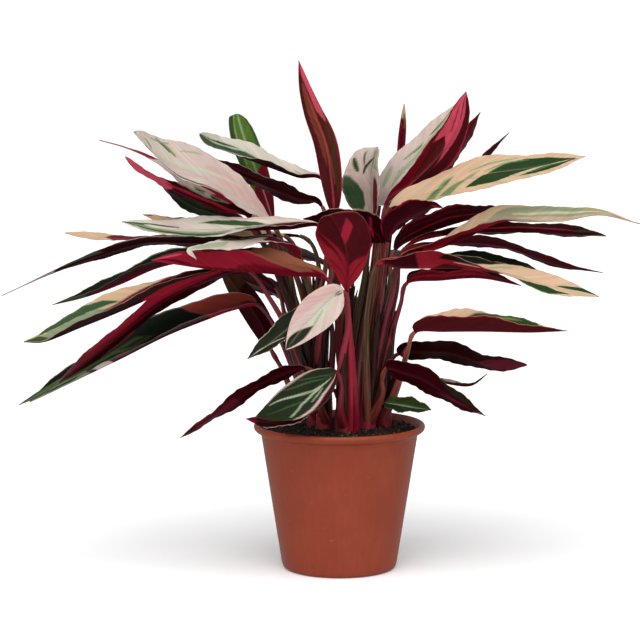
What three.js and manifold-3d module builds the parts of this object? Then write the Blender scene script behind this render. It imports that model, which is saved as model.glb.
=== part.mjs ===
// A potted Stromanthe 'Triostar': long painted leaves on thin stalks, in a terracotta-coloured nursery pot.
// Millimetres, +Z up. The origin is the middle of the pot's underside; -Y is the plant's front.
import * as THREE from "three";
import Module from "manifold-3d";
import { mergeVertices } from "three/addons/utils/BufferGeometryUtils.js";

// ---------------------------------------------------------------- driving dimensions

const RIM_RADIUS = 85;
const POT_HEIGHT = 145;
const BASE_RADIUS = 55;
const WALL = 1.6;
const FLOOR = 2.4;
const RIM_DEPTH = 9;
const RIM_OVERHANG = 7.5;
const POT_SIDES = 48;
const DRAIN_HOLES = 8;
const DRAIN_RADIUS = 4;
const DRAIN_CIRCLE = 36;
const HOLE_SIDES = 12;

const SOIL_EDGE = 139;
const SOIL_MOUND = 3;
const SOIL_LUMP = 0.7;
const SOIL_RINGS = 5;
const CLEARANCE = 0.35;

const FOOT_RADIUS = 8.5;
const FOOT_DEPTH = 22;
const FOOT_RISE = 7;
const FOOT_SPREAD = 2.6;
const FOOT_TURN = 2.4;
const SHEATH_HEIGHT = 70;
const SHEATH_TOP = 5.4;
const SHEATH_SIDES = 8;

const STALK_FOOT = 5.4;
const STALK_TOP = 2.1;
const KNEE_LENGTH = 15;
const KNEE_RADIUS = 2.7;
const STALK_SIDES = 5;
const STALK_STEPS = 6;

const BLADE_THICKNESS = 0.8;
const RIB_DEPTH = 1.4;
const BLADE_STEPS = 12;
const NECK_WIDTH = 2.2;
const TIP_WIDTH = 0.5;
const WIDEST = 0.4;
const TAPER = 0.9;
const CURL = -16;
const WAVE_HEIGHT = 1.4;
const WAVES = 2.6;

// The leaves are set out on a front elevation drawn in perspective, from an eye this far away.
const EYE_ACROSS = -19;
const EYE_BACK = 2192;
const EYE_HEIGHT = 511;

// ---------------------------------------------------------------- materials

const paint = (color, roughness) => new THREE.MeshStandardMaterial({ color, roughness, metalness: 0 });
const TERRACOTTA = paint(0xa04a30, 0.45);
const PEAT = paint(0x1c1512, 0.95);
const STALK = paint(0x8a3a44, 0.45);
const COLOURS = {
  maroon: paint(0x4a1a20, 0.4),
  crimson: paint(0x9c2038, 0.4),
  cream: paint(0xd8bc98, 0.45),
  pink: paint(0xd8b4ac, 0.45),
  green: paint(0x2c4a34, 0.4),
};

// ---------------------------------------------------------------- the plant's layout

// Where each leafy shoot stands in the soil: x, y.
const SHOOTS = {
  left: [-24, 6],
  front_left: [-15, -15],
  front: [4, -30],
  right_front: [27, -12],
  right: [44, 8],
  back: [12, 42],
  back_left: [-17, 34],
};

// A leaf: its shoot, colour and half width, and the lines of its stalk and of its blade's rib, from the
// soil to the tip, as [across, height, depth] on the front elevation. `fold` is how far both halves rise
// from the rib, and `roll` how far the left edge rises, both in degrees at even steps along the blade.
// `widest` is where the blade is widest, and `taper` how fast it narrows. `facing` is the heading of a
// blade that stands too upright to have one of its own.
const LEAVES = [
  // left, from the top down
  {
    name: "left_01", shoot: "left", colour: "pink", width: 31, widest: 0.55, taper: 0.75,
    fold: [10, 18, 18], roll: [-40],
    stalk: [[-39, 238, -2], [-50, 300, -8]],
    rib: [[-62, 336, -15], [-88, 361, -28], [-130, 387, -48], [-172, 405, -66], [-201, 433, -85]],
  },
  {
    name: "left_02", shoot: "back_left", colour: "cream", width: 16, widest: 0.6, taper: 0.6,
    fold: [34], roll: [-8, -15, -50],
    stalk: [[-14, 238, 25], [-2, 317, 16]],
    rib: [[-14, 383, 14], [-41, 390, 21], [-70, 400, 29], [-100, 411, 36], [-123, 420, 40],
      [-137, 431, 42]],
  },
  {
    name: "left_03", shoot: "back_left", colour: "green", width: 13.5, widest: 0.5, facing: 90,
    fold: [12, 8, 4, -20, -40], roll: [0],
    stalk: [[-34, 262, 48], [-51, 310, 52]],
    rib: [[-64, 342, 56], [-73, 370, 60], [-82, 395, 66], [-91, 418, 74], [-98, 441, 86],
      [-100, 451, 102], [-97, 442, 128]],
  },
  {
    name: "left_04", shoot: "back_left", colour: "maroon", width: 19, fold: [2], roll: [30],
    stalk: [[-19, 238, 20], [-6, 305, 8]],
    rib: [[-17, 360, 2], [-42, 369, 6], [-76, 383, 10], [-107, 397, 14], [-137, 413, 18]],
  },
  {
    name: "left_05", shoot: "left", colour: "pink", width: 16, widest: 0.3, taper: 3, fold: [5],
    roll: [-31],
    stalk: [[-36, 238, 8], [-54, 297, 4]],
    rib: [[-76, 345, 0], [-110, 363, -4], [-147, 383, -10], [-184, 407, -16], [-210, 418, -20],
      [-235, 425, -24]],
  },
  {
    name: "left_06", shoot: "left", colour: "crimson", width: 12, widest: 0.3, taper: 0.6,
    fold: [10], roll: [25],
    stalk: [[-39, 233, -12], [-61, 292, -18]],
    rib: [[-88, 349, -26], [-115, 357, -34], [-152, 372, -44], [-184, 388, -52], [-198, 397, -56],
      [-210, 409, -60]],
  },
  {
    name: "left_07", shoot: "left", colour: "green", width: 15, fold: [4], roll: [-29],
    stalk: [[-35, 233, 12], [-53, 282, 12]],
    rib: [[-86, 337, 10], [-115, 350, 8], [-142, 359, 6], [-164, 372, 2], [-178, 385, 0]],
  },
  {
    name: "left_08", shoot: "back_left", colour: "cream", width: 12, widest: 0.6, fold: [4], roll: [-28],
    stalk: [[-24, 248, 28], [-34, 297, 26]],
    rib: [[-54, 331, 22], [-98, 335, 20], [-132, 339, 18], [-162, 344, 12], [-193, 352, 6]],
  },
  {
    name: "left_09", shoot: "front_left", colour: "cream", width: 17, widest: 0.5,
    fold: [50, 34, 12, 6, 6], roll: [-12, -16, -26, -34, -40],
    stalk: [[-27, 238, -34], [-14, 297, -44]],
    rib: [[-17, 339, -50], [-51, 339, -55], [-88, 338, -61], [-132, 338, -69], [-176, 339, -77],
      [-214, 345, -84]],
  },
  {
    name: "left_10", shoot: "back_left", colour: "pink", width: 11, widest: 0.55, taper: 0.5,
    fold: [4], roll: [-15],
    stalk: [[-29, 253, 42], [-39, 302, 50]],
    rib: [[-63, 327, 60], [-118, 326, 74], [-177, 327, 84], [-224, 329, 92], [-270, 334, 98]],
  },
  {
    name: "left_11", shoot: "back_left", colour: "maroon", width: 12.5, widest: 0.33, taper: 1.7, fold: [4],
    roll: [33],
    stalk: [[-23, 258, 30], [-21, 305, 32]],
    rib: [[-39, 331, 34], [-98, 326, 44], [-147, 325, 54], [-191, 325, 62], [-236, 312, 70],
      [-278, 297, 78], [-333, 272, 88]],
  },
  {
    name: "left_12", shoot: "left", colour: "maroon", width: 15, fold: [44], roll: [-14],
    stalk: [[-39, 248, 14], [-59, 292, 18]],
    rib: [[-86, 311, 20], [-132, 309, 24], [-177, 301, 28], [-216, 284, 31], [-251, 271, 34],
      [-283, 263, 36]],
  },
  {
    name: "left_13", shoot: "front_left", colour: "crimson", width: 24, widest: 0.45, fold: [58],
    roll: [-30, -24, -4, 12, 18],
    stalk: [[-21, 223, -42], [-9, 263, -48]],
    rib: [[-13, 289, -52], [-49, 293, -58], [-88, 296, -68], [-130, 299, -82], [-185, 307, -104]],
  },
  {
    name: "left_14", shoot: "front_left", colour: "cream", width: 12, fold: [20, 8, 5],
    roll: [0, -14, -28],
    stalk: [[-27, 223, -30], [-28, 268, -32]],
    rib: [[-40, 303, -38], [-49, 320, -48], [-72, 326, -62], [-103, 322, -80], [-129, 320, -96],
      [-147, 317, -106], [-141, 308, -112]],
  },
  {
    name: "left_15", shoot: "front_left", colour: "green", width: 20, widest: 0.6,
    fold: [35, 40, 45, 45, 40], roll: [0, -2, -15, -22, -28],
    stalk: [[-44, 223, -30], [-68, 268, -32]],
    rib: [[-93, 299, -34], [-133, 292, -42], [-172, 277, -50], [-217, 257, -59], [-256, 241, -67],
      [-291, 227, -74], [-312, 226, -78]],
  },
  {
    name: "left_16", shoot: "left", colour: "maroon", width: 24, widest: 0.46, fold: [3],
    roll: [28, 28, 28, 22, -15],
    stalk: [[-46, 218, -6], [-54, 253, -8]],
    rib: [[-63, 280, -8], [-98, 297, -6], [-137, 286, -8], [-177, 265, -12], [-217, 233, -18],
      [-257, 202, -26], [-292, 177, -34], [-318, 163, -42]],
  },
  {
    name: "left_17", shoot: "left", colour: "crimson", width: 23, taper: 0.7, fold: [41], roll: [-27],
    stalk: [[-48, 206, 12], [-66, 245, 18]],
    rib: [[-82, 263, 22], [-106, 259, 20], [-133, 249, 18], [-172, 233, 14], [-217, 210, 8],
      [-262, 188, 2], [-307, 166, -4]],
  },
  {
    name: "left_18", shoot: "back_left", colour: "maroon", width: 13, facing: -90, fold: [12], roll: [0],
    stalk: [[-43, 170, 30], [-56, 197, 40]],
    rib: [[-68, 219, 46], [-77, 243, 48], [-92, 268, 48], [-108, 289, 46], [-117, 309, 42]],
  },
  // the tall ones in the middle
  {
    name: "top_01", shoot: "back", colour: "maroon", width: 11.8, widest: 0.4, facing: -90, fold: [12],
    roll: [0],
    stalk: [[1, 208, 16], [-2, 287, -2]],
    rib: [[-5, 350, -12], [-8, 386, -15], [-14, 422, -18], [-26, 452, -21], [-34, 476, -23],
      [-40, 502, -24]],
  },
  {
    name: "top_02", shoot: "back", colour: "green", width: 31, widest: 0.45, taper: 0.8, facing: 90,
    fold: [48], roll: [-28],
    stalk: [[12, 218, 34], [25, 292, 30]],
    rib: [[31, 348, 27], [31, 372, 27], [31, 398, 30], [37, 418, 38]],
  },
  {
    name: "top_03", shoot: "back", colour: "cream", width: 17, widest: 0.32, fold: [5], roll: [41],
    stalk: [[18, 218, 38], [32, 297, 36]],
    rib: [[39, 361, 34], [54, 388, 38], [79, 417, 44], [113, 460, 54]],
  },
  {
    name: "top_04", shoot: "right", colour: "crimson", width: 17, widest: 0.55, fold: [2], roll: [-55],
    stalk: [[28, 218, 12], [40, 297, 8]],
    rib: [[45, 361, 6], [69, 382, 3], [95, 408, -1], [111, 432, -5], [118, 452, -8], [123, 472, -10]],
  },
  {
    name: "top_05", shoot: "back", colour: "maroon", width: 16, widest: 0.55, fold: [4], roll: [-39],
    stalk: [[22, 223, 48], [40, 297, 54]],
    rib: [[51, 356, 60], [84, 381, 66], [113, 410, 74], [137, 452, 84]],
  },
  {
    name: "top_06", shoot: "right", colour: "maroon", width: 8, widest: 0.6, fold: [6], roll: [-32],
    stalk: [[32, 223, 26], [45, 292, 30]],
    rib: [[56, 353, 34], [96, 378, 40], [135, 402, 48], [165, 432, 56]],
  },
  {
    name: "top_07", shoot: "back", colour: "crimson", width: 5, widest: 0.6, facing: 90, fold: [40],
    roll: [0],
    stalk: [[24, 228, 54], [38, 297, 64]],
    rib: [[50, 366, 74], [58, 401, 76], [61, 430, 78], [63, 460, 80]],
  },
  // right, from the top down
  {
    name: "right_01", shoot: "right", colour: "cream", width: 25, widest: 0.45, fold: [5], roll: [36],
    stalk: [[34, 223, 2], [36, 309, -4]],
    rib: [[49, 359, -8], [84, 373, -18], [133, 390, -32], [186, 398, -50], [240, 409, -68]],
  },
  {
    name: "right_02", shoot: "right_front", colour: "maroon", width: 18, widest: 0.5, fold: [20],
    roll: [-30],
    stalk: [[36, 228, -16], [43, 287, -26]],
    rib: [[47, 325, -32], [56, 343, -40], [73, 352, -46], [90, 359, -50], [101, 359, -54]],
  },
  {
    name: "right_03", shoot: "right", colour: "maroon", width: 25, fold: [31], roll: [-22],
    stalk: [[42, 228, 18], [49, 282, 20]],
    rib: [[54, 317, 22], [84, 334, 26], [120, 346, 32], [163, 357, 40]],
  },
  {
    name: "right_04", shoot: "right_front", colour: "cream", width: 17, widest: 0.42, taper: 1.4,
    fold: [37], roll: [0, 5, 30, 36, 40],
    stalk: [[40, 223, -22], [52, 272, -26]],
    rib: [[61, 311, -30], [92, 318, -34], [128, 332, -40], [158, 346, -46], [187, 346, -52],
      [221, 347, -58], [256, 352, -66], [295, 343, -72]],
  },
  {
    name: "right_05", shoot: "right", colour: "maroon", width: 18, widest: 0.6, taper: 0.6, fold: [11],
    roll: [-24],
    stalk: [[46, 223, 24], [56, 277, 24]],
    rib: [[64, 319, 22], [108, 334, 20], [167, 336, 16], [217, 334, 10], [262, 331, 4]],
  },
  {
    name: "right_06", shoot: "right", colour: "maroon", width: 11, fold: [6], roll: [-30],
    stalk: [[42, 233, 4], [52, 282, 6]],
    rib: [[61, 315, 8], [99, 323, 12], [133, 325, 16], [163, 321, 20], [192, 311, 25], [222, 301, 30],
      [259, 295, 34]],
  },
  {
    name: "right_07", shoot: "right", colour: "green", width: 15, widest: 0.5, fold: [10], roll: [24],
    stalk: [[40, 238, -8], [48, 277, -12]],
    rib: [[58, 301, -14], [94, 306, -18], [133, 306, -22], [168, 302, -26], [205, 290, -32]],
  },
  {
    name: "right_08", shoot: "right_front", colour: "crimson", width: 22, widest: 0.45,
    fold: [60, 46, 14, 8, 8], roll: [-12, -10, 0, 28, 34],
    stalk: [[26, 223, -36], [28, 263, -42]],
    rib: [[36, 301, -46], [59, 300, -50], [89, 300, -56], [119, 300, -63], [148, 297, -70],
      [178, 291, -78], [207, 282, -87], [232, 276, -94], [256, 271, -100]],
  },
  {
    name: "right_09", shoot: "right_front", colour: "maroon", width: 14, widest: 0.28, fold: [48],
    roll: [5],
    stalk: [[50, 228, -20], [60, 263, -24]],
    rib: [[67, 285, -28], [99, 288, -34], [138, 290, -40], [179, 282, -46]],
  },
  {
    name: "right_10", shoot: "right", colour: "maroon", width: 21, widest: 0.3, taper: 1.1, fold: [59],
    roll: [8],
    stalk: [[57, 182, -14], [67, 216, -44]],
    rib: [[75, 236, -70], [104, 237, -80], [144, 237, -88], [188, 236, -98], [225, 237, -108]],
  },
  {
    name: "right_11", shoot: "right_front", colour: "maroon", width: 16.5, widest: 0.35, taper: 0.6,
    fold: [2], roll: [-44],
    stalk: [[42, 173, -16], [46, 200, -22]],
    rib: [[58, 214, -26], [80, 217, -31], [109, 216, -37], [146, 205, -44], [186, 203, -52]],
  },
  {
    name: "right_12", shoot: "right_front", colour: "maroon", width: 21, widest: 0.32, fold: [2],
    roll: [-46],
    stalk: [[42, 172, -26], [42, 188, -32]],
    rib: [[47, 200, -38], [62, 196, -43], [80, 190, -49], [99, 179, -56], [119, 167, -66],
      [145, 152, -78]],
  },
  {
    name: "right_13", shoot: "right", colour: "maroon", width: 6, fold: [29], roll: [-5],
    stalk: [[44, 173, 8], [52, 188, 8]],
    rib: [[64, 194, 6], [88, 190, 2], [112, 184, -4], [131, 183, -12], [146, 194, -20]],
  },
  {
    name: "right_14", shoot: "right_front", colour: "green", width: 13, fold: [10], roll: [26],
    stalk: [[34, 158, -12], [38, 163, -15]],
    rib: [[44, 165, -18], [58, 163, -24], [74, 160, -34], [91, 158, -44]],
  },
  // front
  {
    name: "front_01", shoot: "front", colour: "crimson", width: 26.5, widest: 0.65, taper: 0.55, facing: -90,
    fold: [12], roll: [0],
    stalk: [[8, 198, -46], [8, 238, -50]],
    rib: [[7, 275, -58], [8, 298, -64], [6, 320, -74], [-1, 339, -86], [-10, 352, -96]],
  },
  {
    name: "front_02", shoot: "right_front", colour: "maroon", width: 24, widest: 0.35, fold: [-15],
    roll: [49],
    stalk: [[30, 223, -8], [38, 282, -10]],
    rib: [[42, 324, -16], [26, 340, -22], [-2, 348, -27], [-36, 348, -32]],
  },
  {
    name: "front_03", shoot: "front", colour: "pink", width: 18, fold: [8], roll: [-60],
    stalk: [[1, 196, -50], [9, 246, -57]],
    rib: [[4, 276, -64], [-17, 260, -76], [-36, 240, -88], [-53, 218, -98]],
  },
  {
    name: "front_04", shoot: "front_left", colour: "green", width: 14, fold: [13], roll: [-29],
    stalk: [[-8, 198, -34], [-8, 243, -40]],
    rib: [[-21, 264, -46], [-43, 246, -56], [-66, 227, -66], [-91, 209, -76]],
  },
  {
    name: "front_05", shoot: "front_left", colour: "maroon", width: 15, fold: [0], roll: [42],
    stalk: [[-19, 163, -34], [-21, 187, -40]],
    rib: [[-34, 200, -46], [-67, 190, -54], [-94, 174, -64], [-123, 154, -76], [-158, 130, -90]],
  },
  {
    name: "front_06", shoot: "front", colour: "green", width: 19, widest: 0.45, fold: [8], roll: [-55],
    stalk: [[1, 158, -48], [2, 182, -58]],
    rib: [[-3, 196, -66], [-13, 190, -74], [-28, 177, -86], [-46, 165, -98], [-68, 155, -110],
      [-83, 151, -116]],
  },
  {
    name: "front_07", shoot: "front", colour: "maroon", width: 16, fold: [5], roll: [50],
    stalk: [[1, 150, -38], [0, 166, -42]],
    rib: [[-6, 178, -48], [-17, 168, -57], [-33, 158, -68], [-51, 150, -79], [-71, 147, -89],
      [-93, 149, -97]],
  },
  // back
  {
    name: "back_01", shoot: "back_left", colour: "green", width: 26, widest: 0.3, fold: [12], roll: [26],
    stalk: [[-13, 238, 36], [-11, 278, 42]],
    rib: [[-10, 300, 50], [-36, 311, 95], [-66, 308, 150], [-92, 292, 205]],
  },
  {
    name: "back_02", shoot: "back", colour: "cream", width: 22, fold: [12], roll: [0],
    stalk: [[5, 238, 50], [9, 292, 56]],
    rib: [[10, 327, 64], [12, 333, 120], [16, 322, 180], [20, 298, 240]],
  },
  {
    name: "back_03", shoot: "back", colour: "green", width: 20, fold: [12], roll: [0],
    stalk: [[18, 238, 54], [34, 280, 66]],
    rib: [[46, 306, 76], [72, 312, 116], [98, 306, 160], [122, 290, 200]],
  },
  {
    name: "back_04", shoot: "back_left", colour: "crimson", width: 22, fold: [8], roll: [42],
    stalk: [[-22, 200, 40], [-31, 240, 48]],
    rib: [[-43, 264, 56], [-64, 276, 70], [-86, 285, 88], [-108, 292, 108], [-124, 298, 124]],
  },
  {
    name: "back_05", shoot: "back", colour: "maroon", width: 18, fold: [12], roll: [0],
    stalk: [[18, 208, 54], [18, 243, 64]],
    rib: [[18, 268, 72], [24, 266, 115], [30, 246, 155], [34, 210, 190]],
  },
];

// ---------------------------------------------------------------- solids

const wasm = await Module();
wasm.setup();

// A closed three.js mesh as a manifold-3d solid, and back again.
function solidOf(geometry) {
  const bare = new THREE.BufferGeometry();
  bare.setAttribute("position", geometry.getAttribute("position"));
  bare.setIndex(geometry.index);
  const merged = mergeVertices(bare, 1e-4);
  const mesh = new wasm.Mesh({
    numProp: 3,
    vertProperties: merged.attributes.position.array,
    triVerts: new Uint32Array(merged.index.array),
  });
  return new wasm.Manifold(mesh);
}

function geometryOf(solid) {
  const mesh = solid.getMesh();
  const geometry = new THREE.BufferGeometry();
  geometry.setAttribute("position", new THREE.BufferAttribute(mesh.vertProperties, 3));
  geometry.setIndex(new THREE.BufferAttribute(mesh.triVerts, 1));
  return geometry;
}

// A closed skin over rings of equally many points, the first and last ring capped.
function loft(rings) {
  const around = rings[0].length;
  const corners = rings.flat().flatMap((p) => [p.x, p.y, p.z]);
  const faces = [];
  for (let i = 0; i + 1 < rings.length; i++) {
    for (let j = 0; j < around; j++) {
      const a = i * around + j;
      const b = i * around + ((j + 1) % around);
      faces.push(a, b, b + around, a, b + around, a + around);
    }
  }
  const last = (rings.length - 1) * around;
  for (let j = 1; j + 1 < around; j++) {
    faces.push(0, j + 1, j);
    faces.push(last, last + j, last + j + 1);
  }
  const geometry = new THREE.BufferGeometry();
  geometry.setAttribute("position", new THREE.Float32BufferAttribute(corners, 3));
  geometry.setIndex(faces);
  return geometry;
}

// ---------------------------------------------------------------- pot and soil

const WALL_TOP = RIM_RADIUS - RIM_OVERHANG;
const RIM_FOOT = POT_HEIGHT - RIM_DEPTH;
const innerRadius = (z) => BASE_RADIUS + 2.5 - WALL + ((WALL_TOP - BASE_RADIUS - 2.5) * z) / RIM_FOOT;

// An upright round cutter about a point.
function drill(x, y, z, radius, length) {
  const cutter = new THREE.CylinderGeometry(radius, radius, length, HOLE_SIDES);
  return cutter.rotateX(Math.PI / 2).translate(x, y, z);
}

function makePot() {
  const profile = [
    [0, 0],
    [BASE_RADIUS - 1, 0],
    [BASE_RADIUS + 1, 1.2],
    [BASE_RADIUS + 2.5, 5],
    [WALL_TOP, RIM_FOOT - 3],
    [WALL_TOP + 1, RIM_FOOT - 0.6],
    [RIM_RADIUS - 4, RIM_FOOT + 0.6],
    [RIM_RADIUS - 1.2, RIM_FOOT + 2.4],
    [RIM_RADIUS, RIM_FOOT + 4.8],
    [RIM_RADIUS, POT_HEIGHT - 2.2],
    [RIM_RADIUS - 1.1, POT_HEIGHT - 0.5],
    [RIM_RADIUS - 2.6, POT_HEIGHT],
    [RIM_RADIUS - 4.4, POT_HEIGHT - 1.2],
    [innerRadius(RIM_FOOT), RIM_FOOT - 1],
    [innerRadius(FLOOR), FLOOR],
    [0, FLOOR],
  ].map(([r, z]) => new THREE.Vector2(r, z));
  let pot = solidOf(new THREE.LatheGeometry(profile, POT_SIDES).rotateX(Math.PI / 2));
  for (let i = 0; i < DRAIN_HOLES; i++) {
    const turn = (2 * Math.PI * i) / DRAIN_HOLES;
    const x = DRAIN_CIRCLE * Math.cos(turn);
    const y = DRAIN_CIRCLE * Math.sin(turn);
    pot = pot.subtract(solidOf(drill(x, y, 0, DRAIN_RADIUS, 4 * FLOOR)));
  }
  return geometryOf(pot);
}

// The soil's top: a low mound with shallow lumps.
function soilTop(x, y) {
  const out = Math.min(1, Math.hypot(x, y) / innerRadius(SOIL_EDGE));
  const lumps = SOIL_LUMP * Math.sin(x * 0.31 + 1.7 * Math.cos(y * 0.19)) * Math.cos(y * 0.27);
  return SOIL_EDGE + SOIL_MOUND * (1 - out * out) + lumps * (1 - out);
}

function makeSoil() {
  const edge = innerRadius(SOIL_EDGE - RIM_DEPTH) - CLEARANCE;
  const profile = [new THREE.Vector2(0, FLOOR + CLEARANCE)];
  profile.push(new THREE.Vector2(innerRadius(FLOOR) - 2 * CLEARANCE, FLOOR + CLEARANCE));
  profile.push(new THREE.Vector2(edge, SOIL_EDGE - RIM_DEPTH));
  for (let i = SOIL_RINGS; i >= 0; i--) profile.push(new THREE.Vector2((edge * i) / SOIL_RINGS, SOIL_EDGE));
  const body = new THREE.LatheGeometry(profile, POT_SIDES).rotateX(Math.PI / 2);
  const position = body.getAttribute("position");
  for (let i = 0; i < position.count; i++) {
    if (position.getZ(i) > SOIL_EDGE - 1) {
      position.setZ(i, soilTop(position.getX(i), position.getY(i)));
    }
  }
  let soil = solidOf(body);
  for (const [x, y] of Object.values(SHOOTS)) {
    soil = soil.subtract(solidOf(drill(x, y, SOIL_EDGE, FOOT_RADIUS + CLEARANCE, 2 * FOOT_DEPTH)));
  }
  return geometryOf(soil);
}

// ---------------------------------------------------------------- leaves and stalks

// A point of the front elevation, brought back along the line of sight to its depth.
function place([across, height, depth]) {
  const spread = 1 + depth / EYE_BACK;
  const x = EYE_ACROSS + (across - EYE_ACROSS) * spread;
  const z = EYE_HEIGHT + (height - EYE_HEIGHT) * spread;
  return new THREE.Vector3(x, depth, z);
}

// The leaf's whole line, from its foot in the shoot to the tip.
function ribOf(leaf, order) {
  const [x, y] = SHOOTS[leaf.shoot];
  const turn = order * FOOT_TURN;
  const foot = new THREE.Vector3(x, y, SOIL_EDGE + FOOT_RISE);
  foot.x += FOOT_SPREAD * Math.cos(turn);
  foot.y += FOOT_SPREAD * Math.sin(turn);
  const points = [foot, ...leaf.stalk.map(place), ...leaf.rib.map(place)];
  const curve = new THREE.CatmullRomCurve3(points, false, "catmullrom", 0.5);
  return { curve, split: (leaf.stalk.length + 1) / (points.length - 1) };
}

// Places at given fractions of the way from parameter `from` to `to`, with their directions.
function walk(curve, from, to, fractions) {
  const fine = 240;
  const at = (i) => from + ((to - from) * i) / fine;
  const lengths = [0];
  let before = curve.getPoint(at(0));
  for (let i = 1; i <= fine; i++) {
    const here = curve.getPoint(at(i));
    lengths.push(lengths[i - 1] + here.distanceTo(before));
    before = here;
  }
  const total = lengths[fine];
  return fractions.map((f) => {
    let i = 1;
    while (i < fine && lengths[i] < f * total) i++;
    const part = (f * total - lengths[i - 1]) / (lengths[i] - lengths[i - 1]);
    const u = at(i - 1 + part);
    return { f, length: total, point: curve.getPoint(u), along: curve.getTangent(u) };
  });
}

// The direction across a blade or stalk, level before any roll.
function acrossOf(leaf, along) {
  const ends = [leaf.rib[0], leaf.rib[leaf.rib.length - 1]].map(place);
  const own = Math.atan2(ends[1].y - ends[0].y, ends[1].x - ends[0].x);
  const heading = leaf.facing === undefined ? own : THREE.MathUtils.degToRad(leaf.facing);
  const side = new THREE.Vector3(-Math.sin(heading), Math.cos(heading), 0);
  return side.addScaledVector(along, -side.dot(along)).normalize();
}

// Points round a centre, in the plane of two directions.
function ringOf(centre, side, up, radius, sides) {
  const ring = [];
  for (let j = 0; j < sides; j++) {
    const turn = (2 * Math.PI * j) / sides;
    const across = radius * Math.cos(turn);
    const rise = radius * Math.sin(turn);
    ring.push(centre.clone().addScaledVector(side, across).addScaledVector(up, rise));
  }
  return ring;
}

// A stalk, thicker at its foot and at the knee below the blade.
function makeStalk(leaf, order) {
  const { curve, split } = ribOf(leaf, order);
  const length = walk(curve, 0, split, [1])[0].length;
  const knee = 1 - KNEE_LENGTH / length;
  const fractions = [];
  for (let i = 0; i <= STALK_STEPS; i++) fractions.push((knee * i) / STALK_STEPS);
  fractions.push(knee + 0.3 * (1 - knee), 1);
  const rings = walk(curve, 0, split, fractions).map(({ f, point, along }) => {
    const side = acrossOf(leaf, along);
    const up = along.clone().cross(side);
    const radius = f > knee + 1e-6 ? KNEE_RADIUS : STALK_FOOT + (STALK_TOP - STALK_FOOT) * (f / knee);
    return ringOf(point, side, up, radius, STALK_SIDES);
  });
  return loft(rings);
}

// The foot and sheath that a shoot's stalks rise from.
function makeSheath([x, y]) {
  const levels = [
    [SOIL_EDGE - FOOT_DEPTH + CLEARANCE, FOOT_RADIUS - 2],
    [SOIL_EDGE - FOOT_DEPTH + 5, FOOT_RADIUS],
    [SOIL_EDGE + SOIL_MOUND + 6, FOOT_RADIUS],
    [SOIL_EDGE + SHEATH_HEIGHT * 0.6, FOOT_RADIUS - 1.2],
    [SOIL_EDGE + SHEATH_HEIGHT, SHEATH_TOP],
  ];
  const east = new THREE.Vector3(1, 0, 0);
  const north = new THREE.Vector3(0, 1, 0);
  return loft(levels.map(([z, radius]) => {
    return ringOf(new THREE.Vector3(x, y, z), east, north, radius, SHEATH_SIDES);
  }));
}

function makeShoot(name) {
  let shoot = solidOf(makeSheath(SHOOTS[name]));
  LEAVES.filter((leaf) => leaf.shoot === name).forEach((leaf, order) => {
    shoot = shoot.add(solidOf(makeStalk(leaf, order)));
  });
  return geometryOf(shoot);
}

// Half width at fraction f of the blade, 1 at its widest.
function outline(f, widest, taper) {
  const swell = (taper * widest) / (1 - widest);
  return Math.pow(f / widest, swell) * Math.pow((1 - f) / (1 - widest), taper);
}

// The value at fraction f of a list of evenly spaced ones.
function between(values, f) {
  const place = f * (values.length - 1);
  const i = Math.min(Math.floor(place), values.length - 2);
  return values.length === 1 ? values[0] : THREE.MathUtils.lerp(values[i], values[i + 1], place - i);
}

// A blade: two halves that rise from the rib, each waved along its edge, closed underneath.
function makeBlade(leaf, order, number) {
  const { curve, split } = ribOf(leaf, order);
  const length = walk(curve, split, 1, [1])[0].length;
  const fractions = [];
  for (let i = 0; i <= BLADE_STEPS; i++) {
    const even = i / BLADE_STEPS;
    fractions.push(CLEARANCE / length + (1 - CLEARANCE / length) * even);
  }
  const radians = THREE.MathUtils.degToRad;
  const rings = walk(curve, split, 1, fractions).map(({ f, point, along }) => {
    const level = acrossOf(leaf, along);
    const side = level.clone().applyAxisAngle(along, radians(between(leaf.roll, f)));
    const up = along.clone().cross(side);
    const shape = outline(f, leaf.widest ?? WIDEST, leaf.taper ?? TAPER);
    const half = Math.max(leaf.width * shape, NECK_WIDTH * (1 - f) + TIP_WIDTH * f);
    const wave = WAVE_HEIGHT * Math.sin(2 * Math.PI * WAVES * f + number) * Math.min(1, half / 10);
    const slope = radians(between(leaf.fold, f));
    const edge = (sign) => {
      const middle = radians(CURL) / 2;
      const reach = half * (Math.sin(slope + middle) - Math.sin(slope - middle)) / (2 * middle);
      const rise = half * (Math.cos(slope - middle) - Math.cos(slope + middle)) / (2 * middle);
      return point.clone().addScaledVector(side, sign * reach).addScaledVector(up, rise + sign * wave);
    };
    const below = (sign) => new THREE.Vector3()
      .addScaledVector(side, sign * Math.sin(slope))
      .addScaledVector(up, -Math.cos(slope))
      .multiplyScalar(BLADE_THICKNESS);
    const left = edge(1);
    const right = edge(-1);
    const rib = BLADE_THICKNESS + RIB_DEPTH * (1 - f);
    return [
      right,
      point.clone(),
      left,
      left.clone().add(below(1)),
      point.clone().addScaledVector(up, -rib),
      right.clone().add(below(-1)),
    ];
  });
  return bladeSkin(rings);
}

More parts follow.
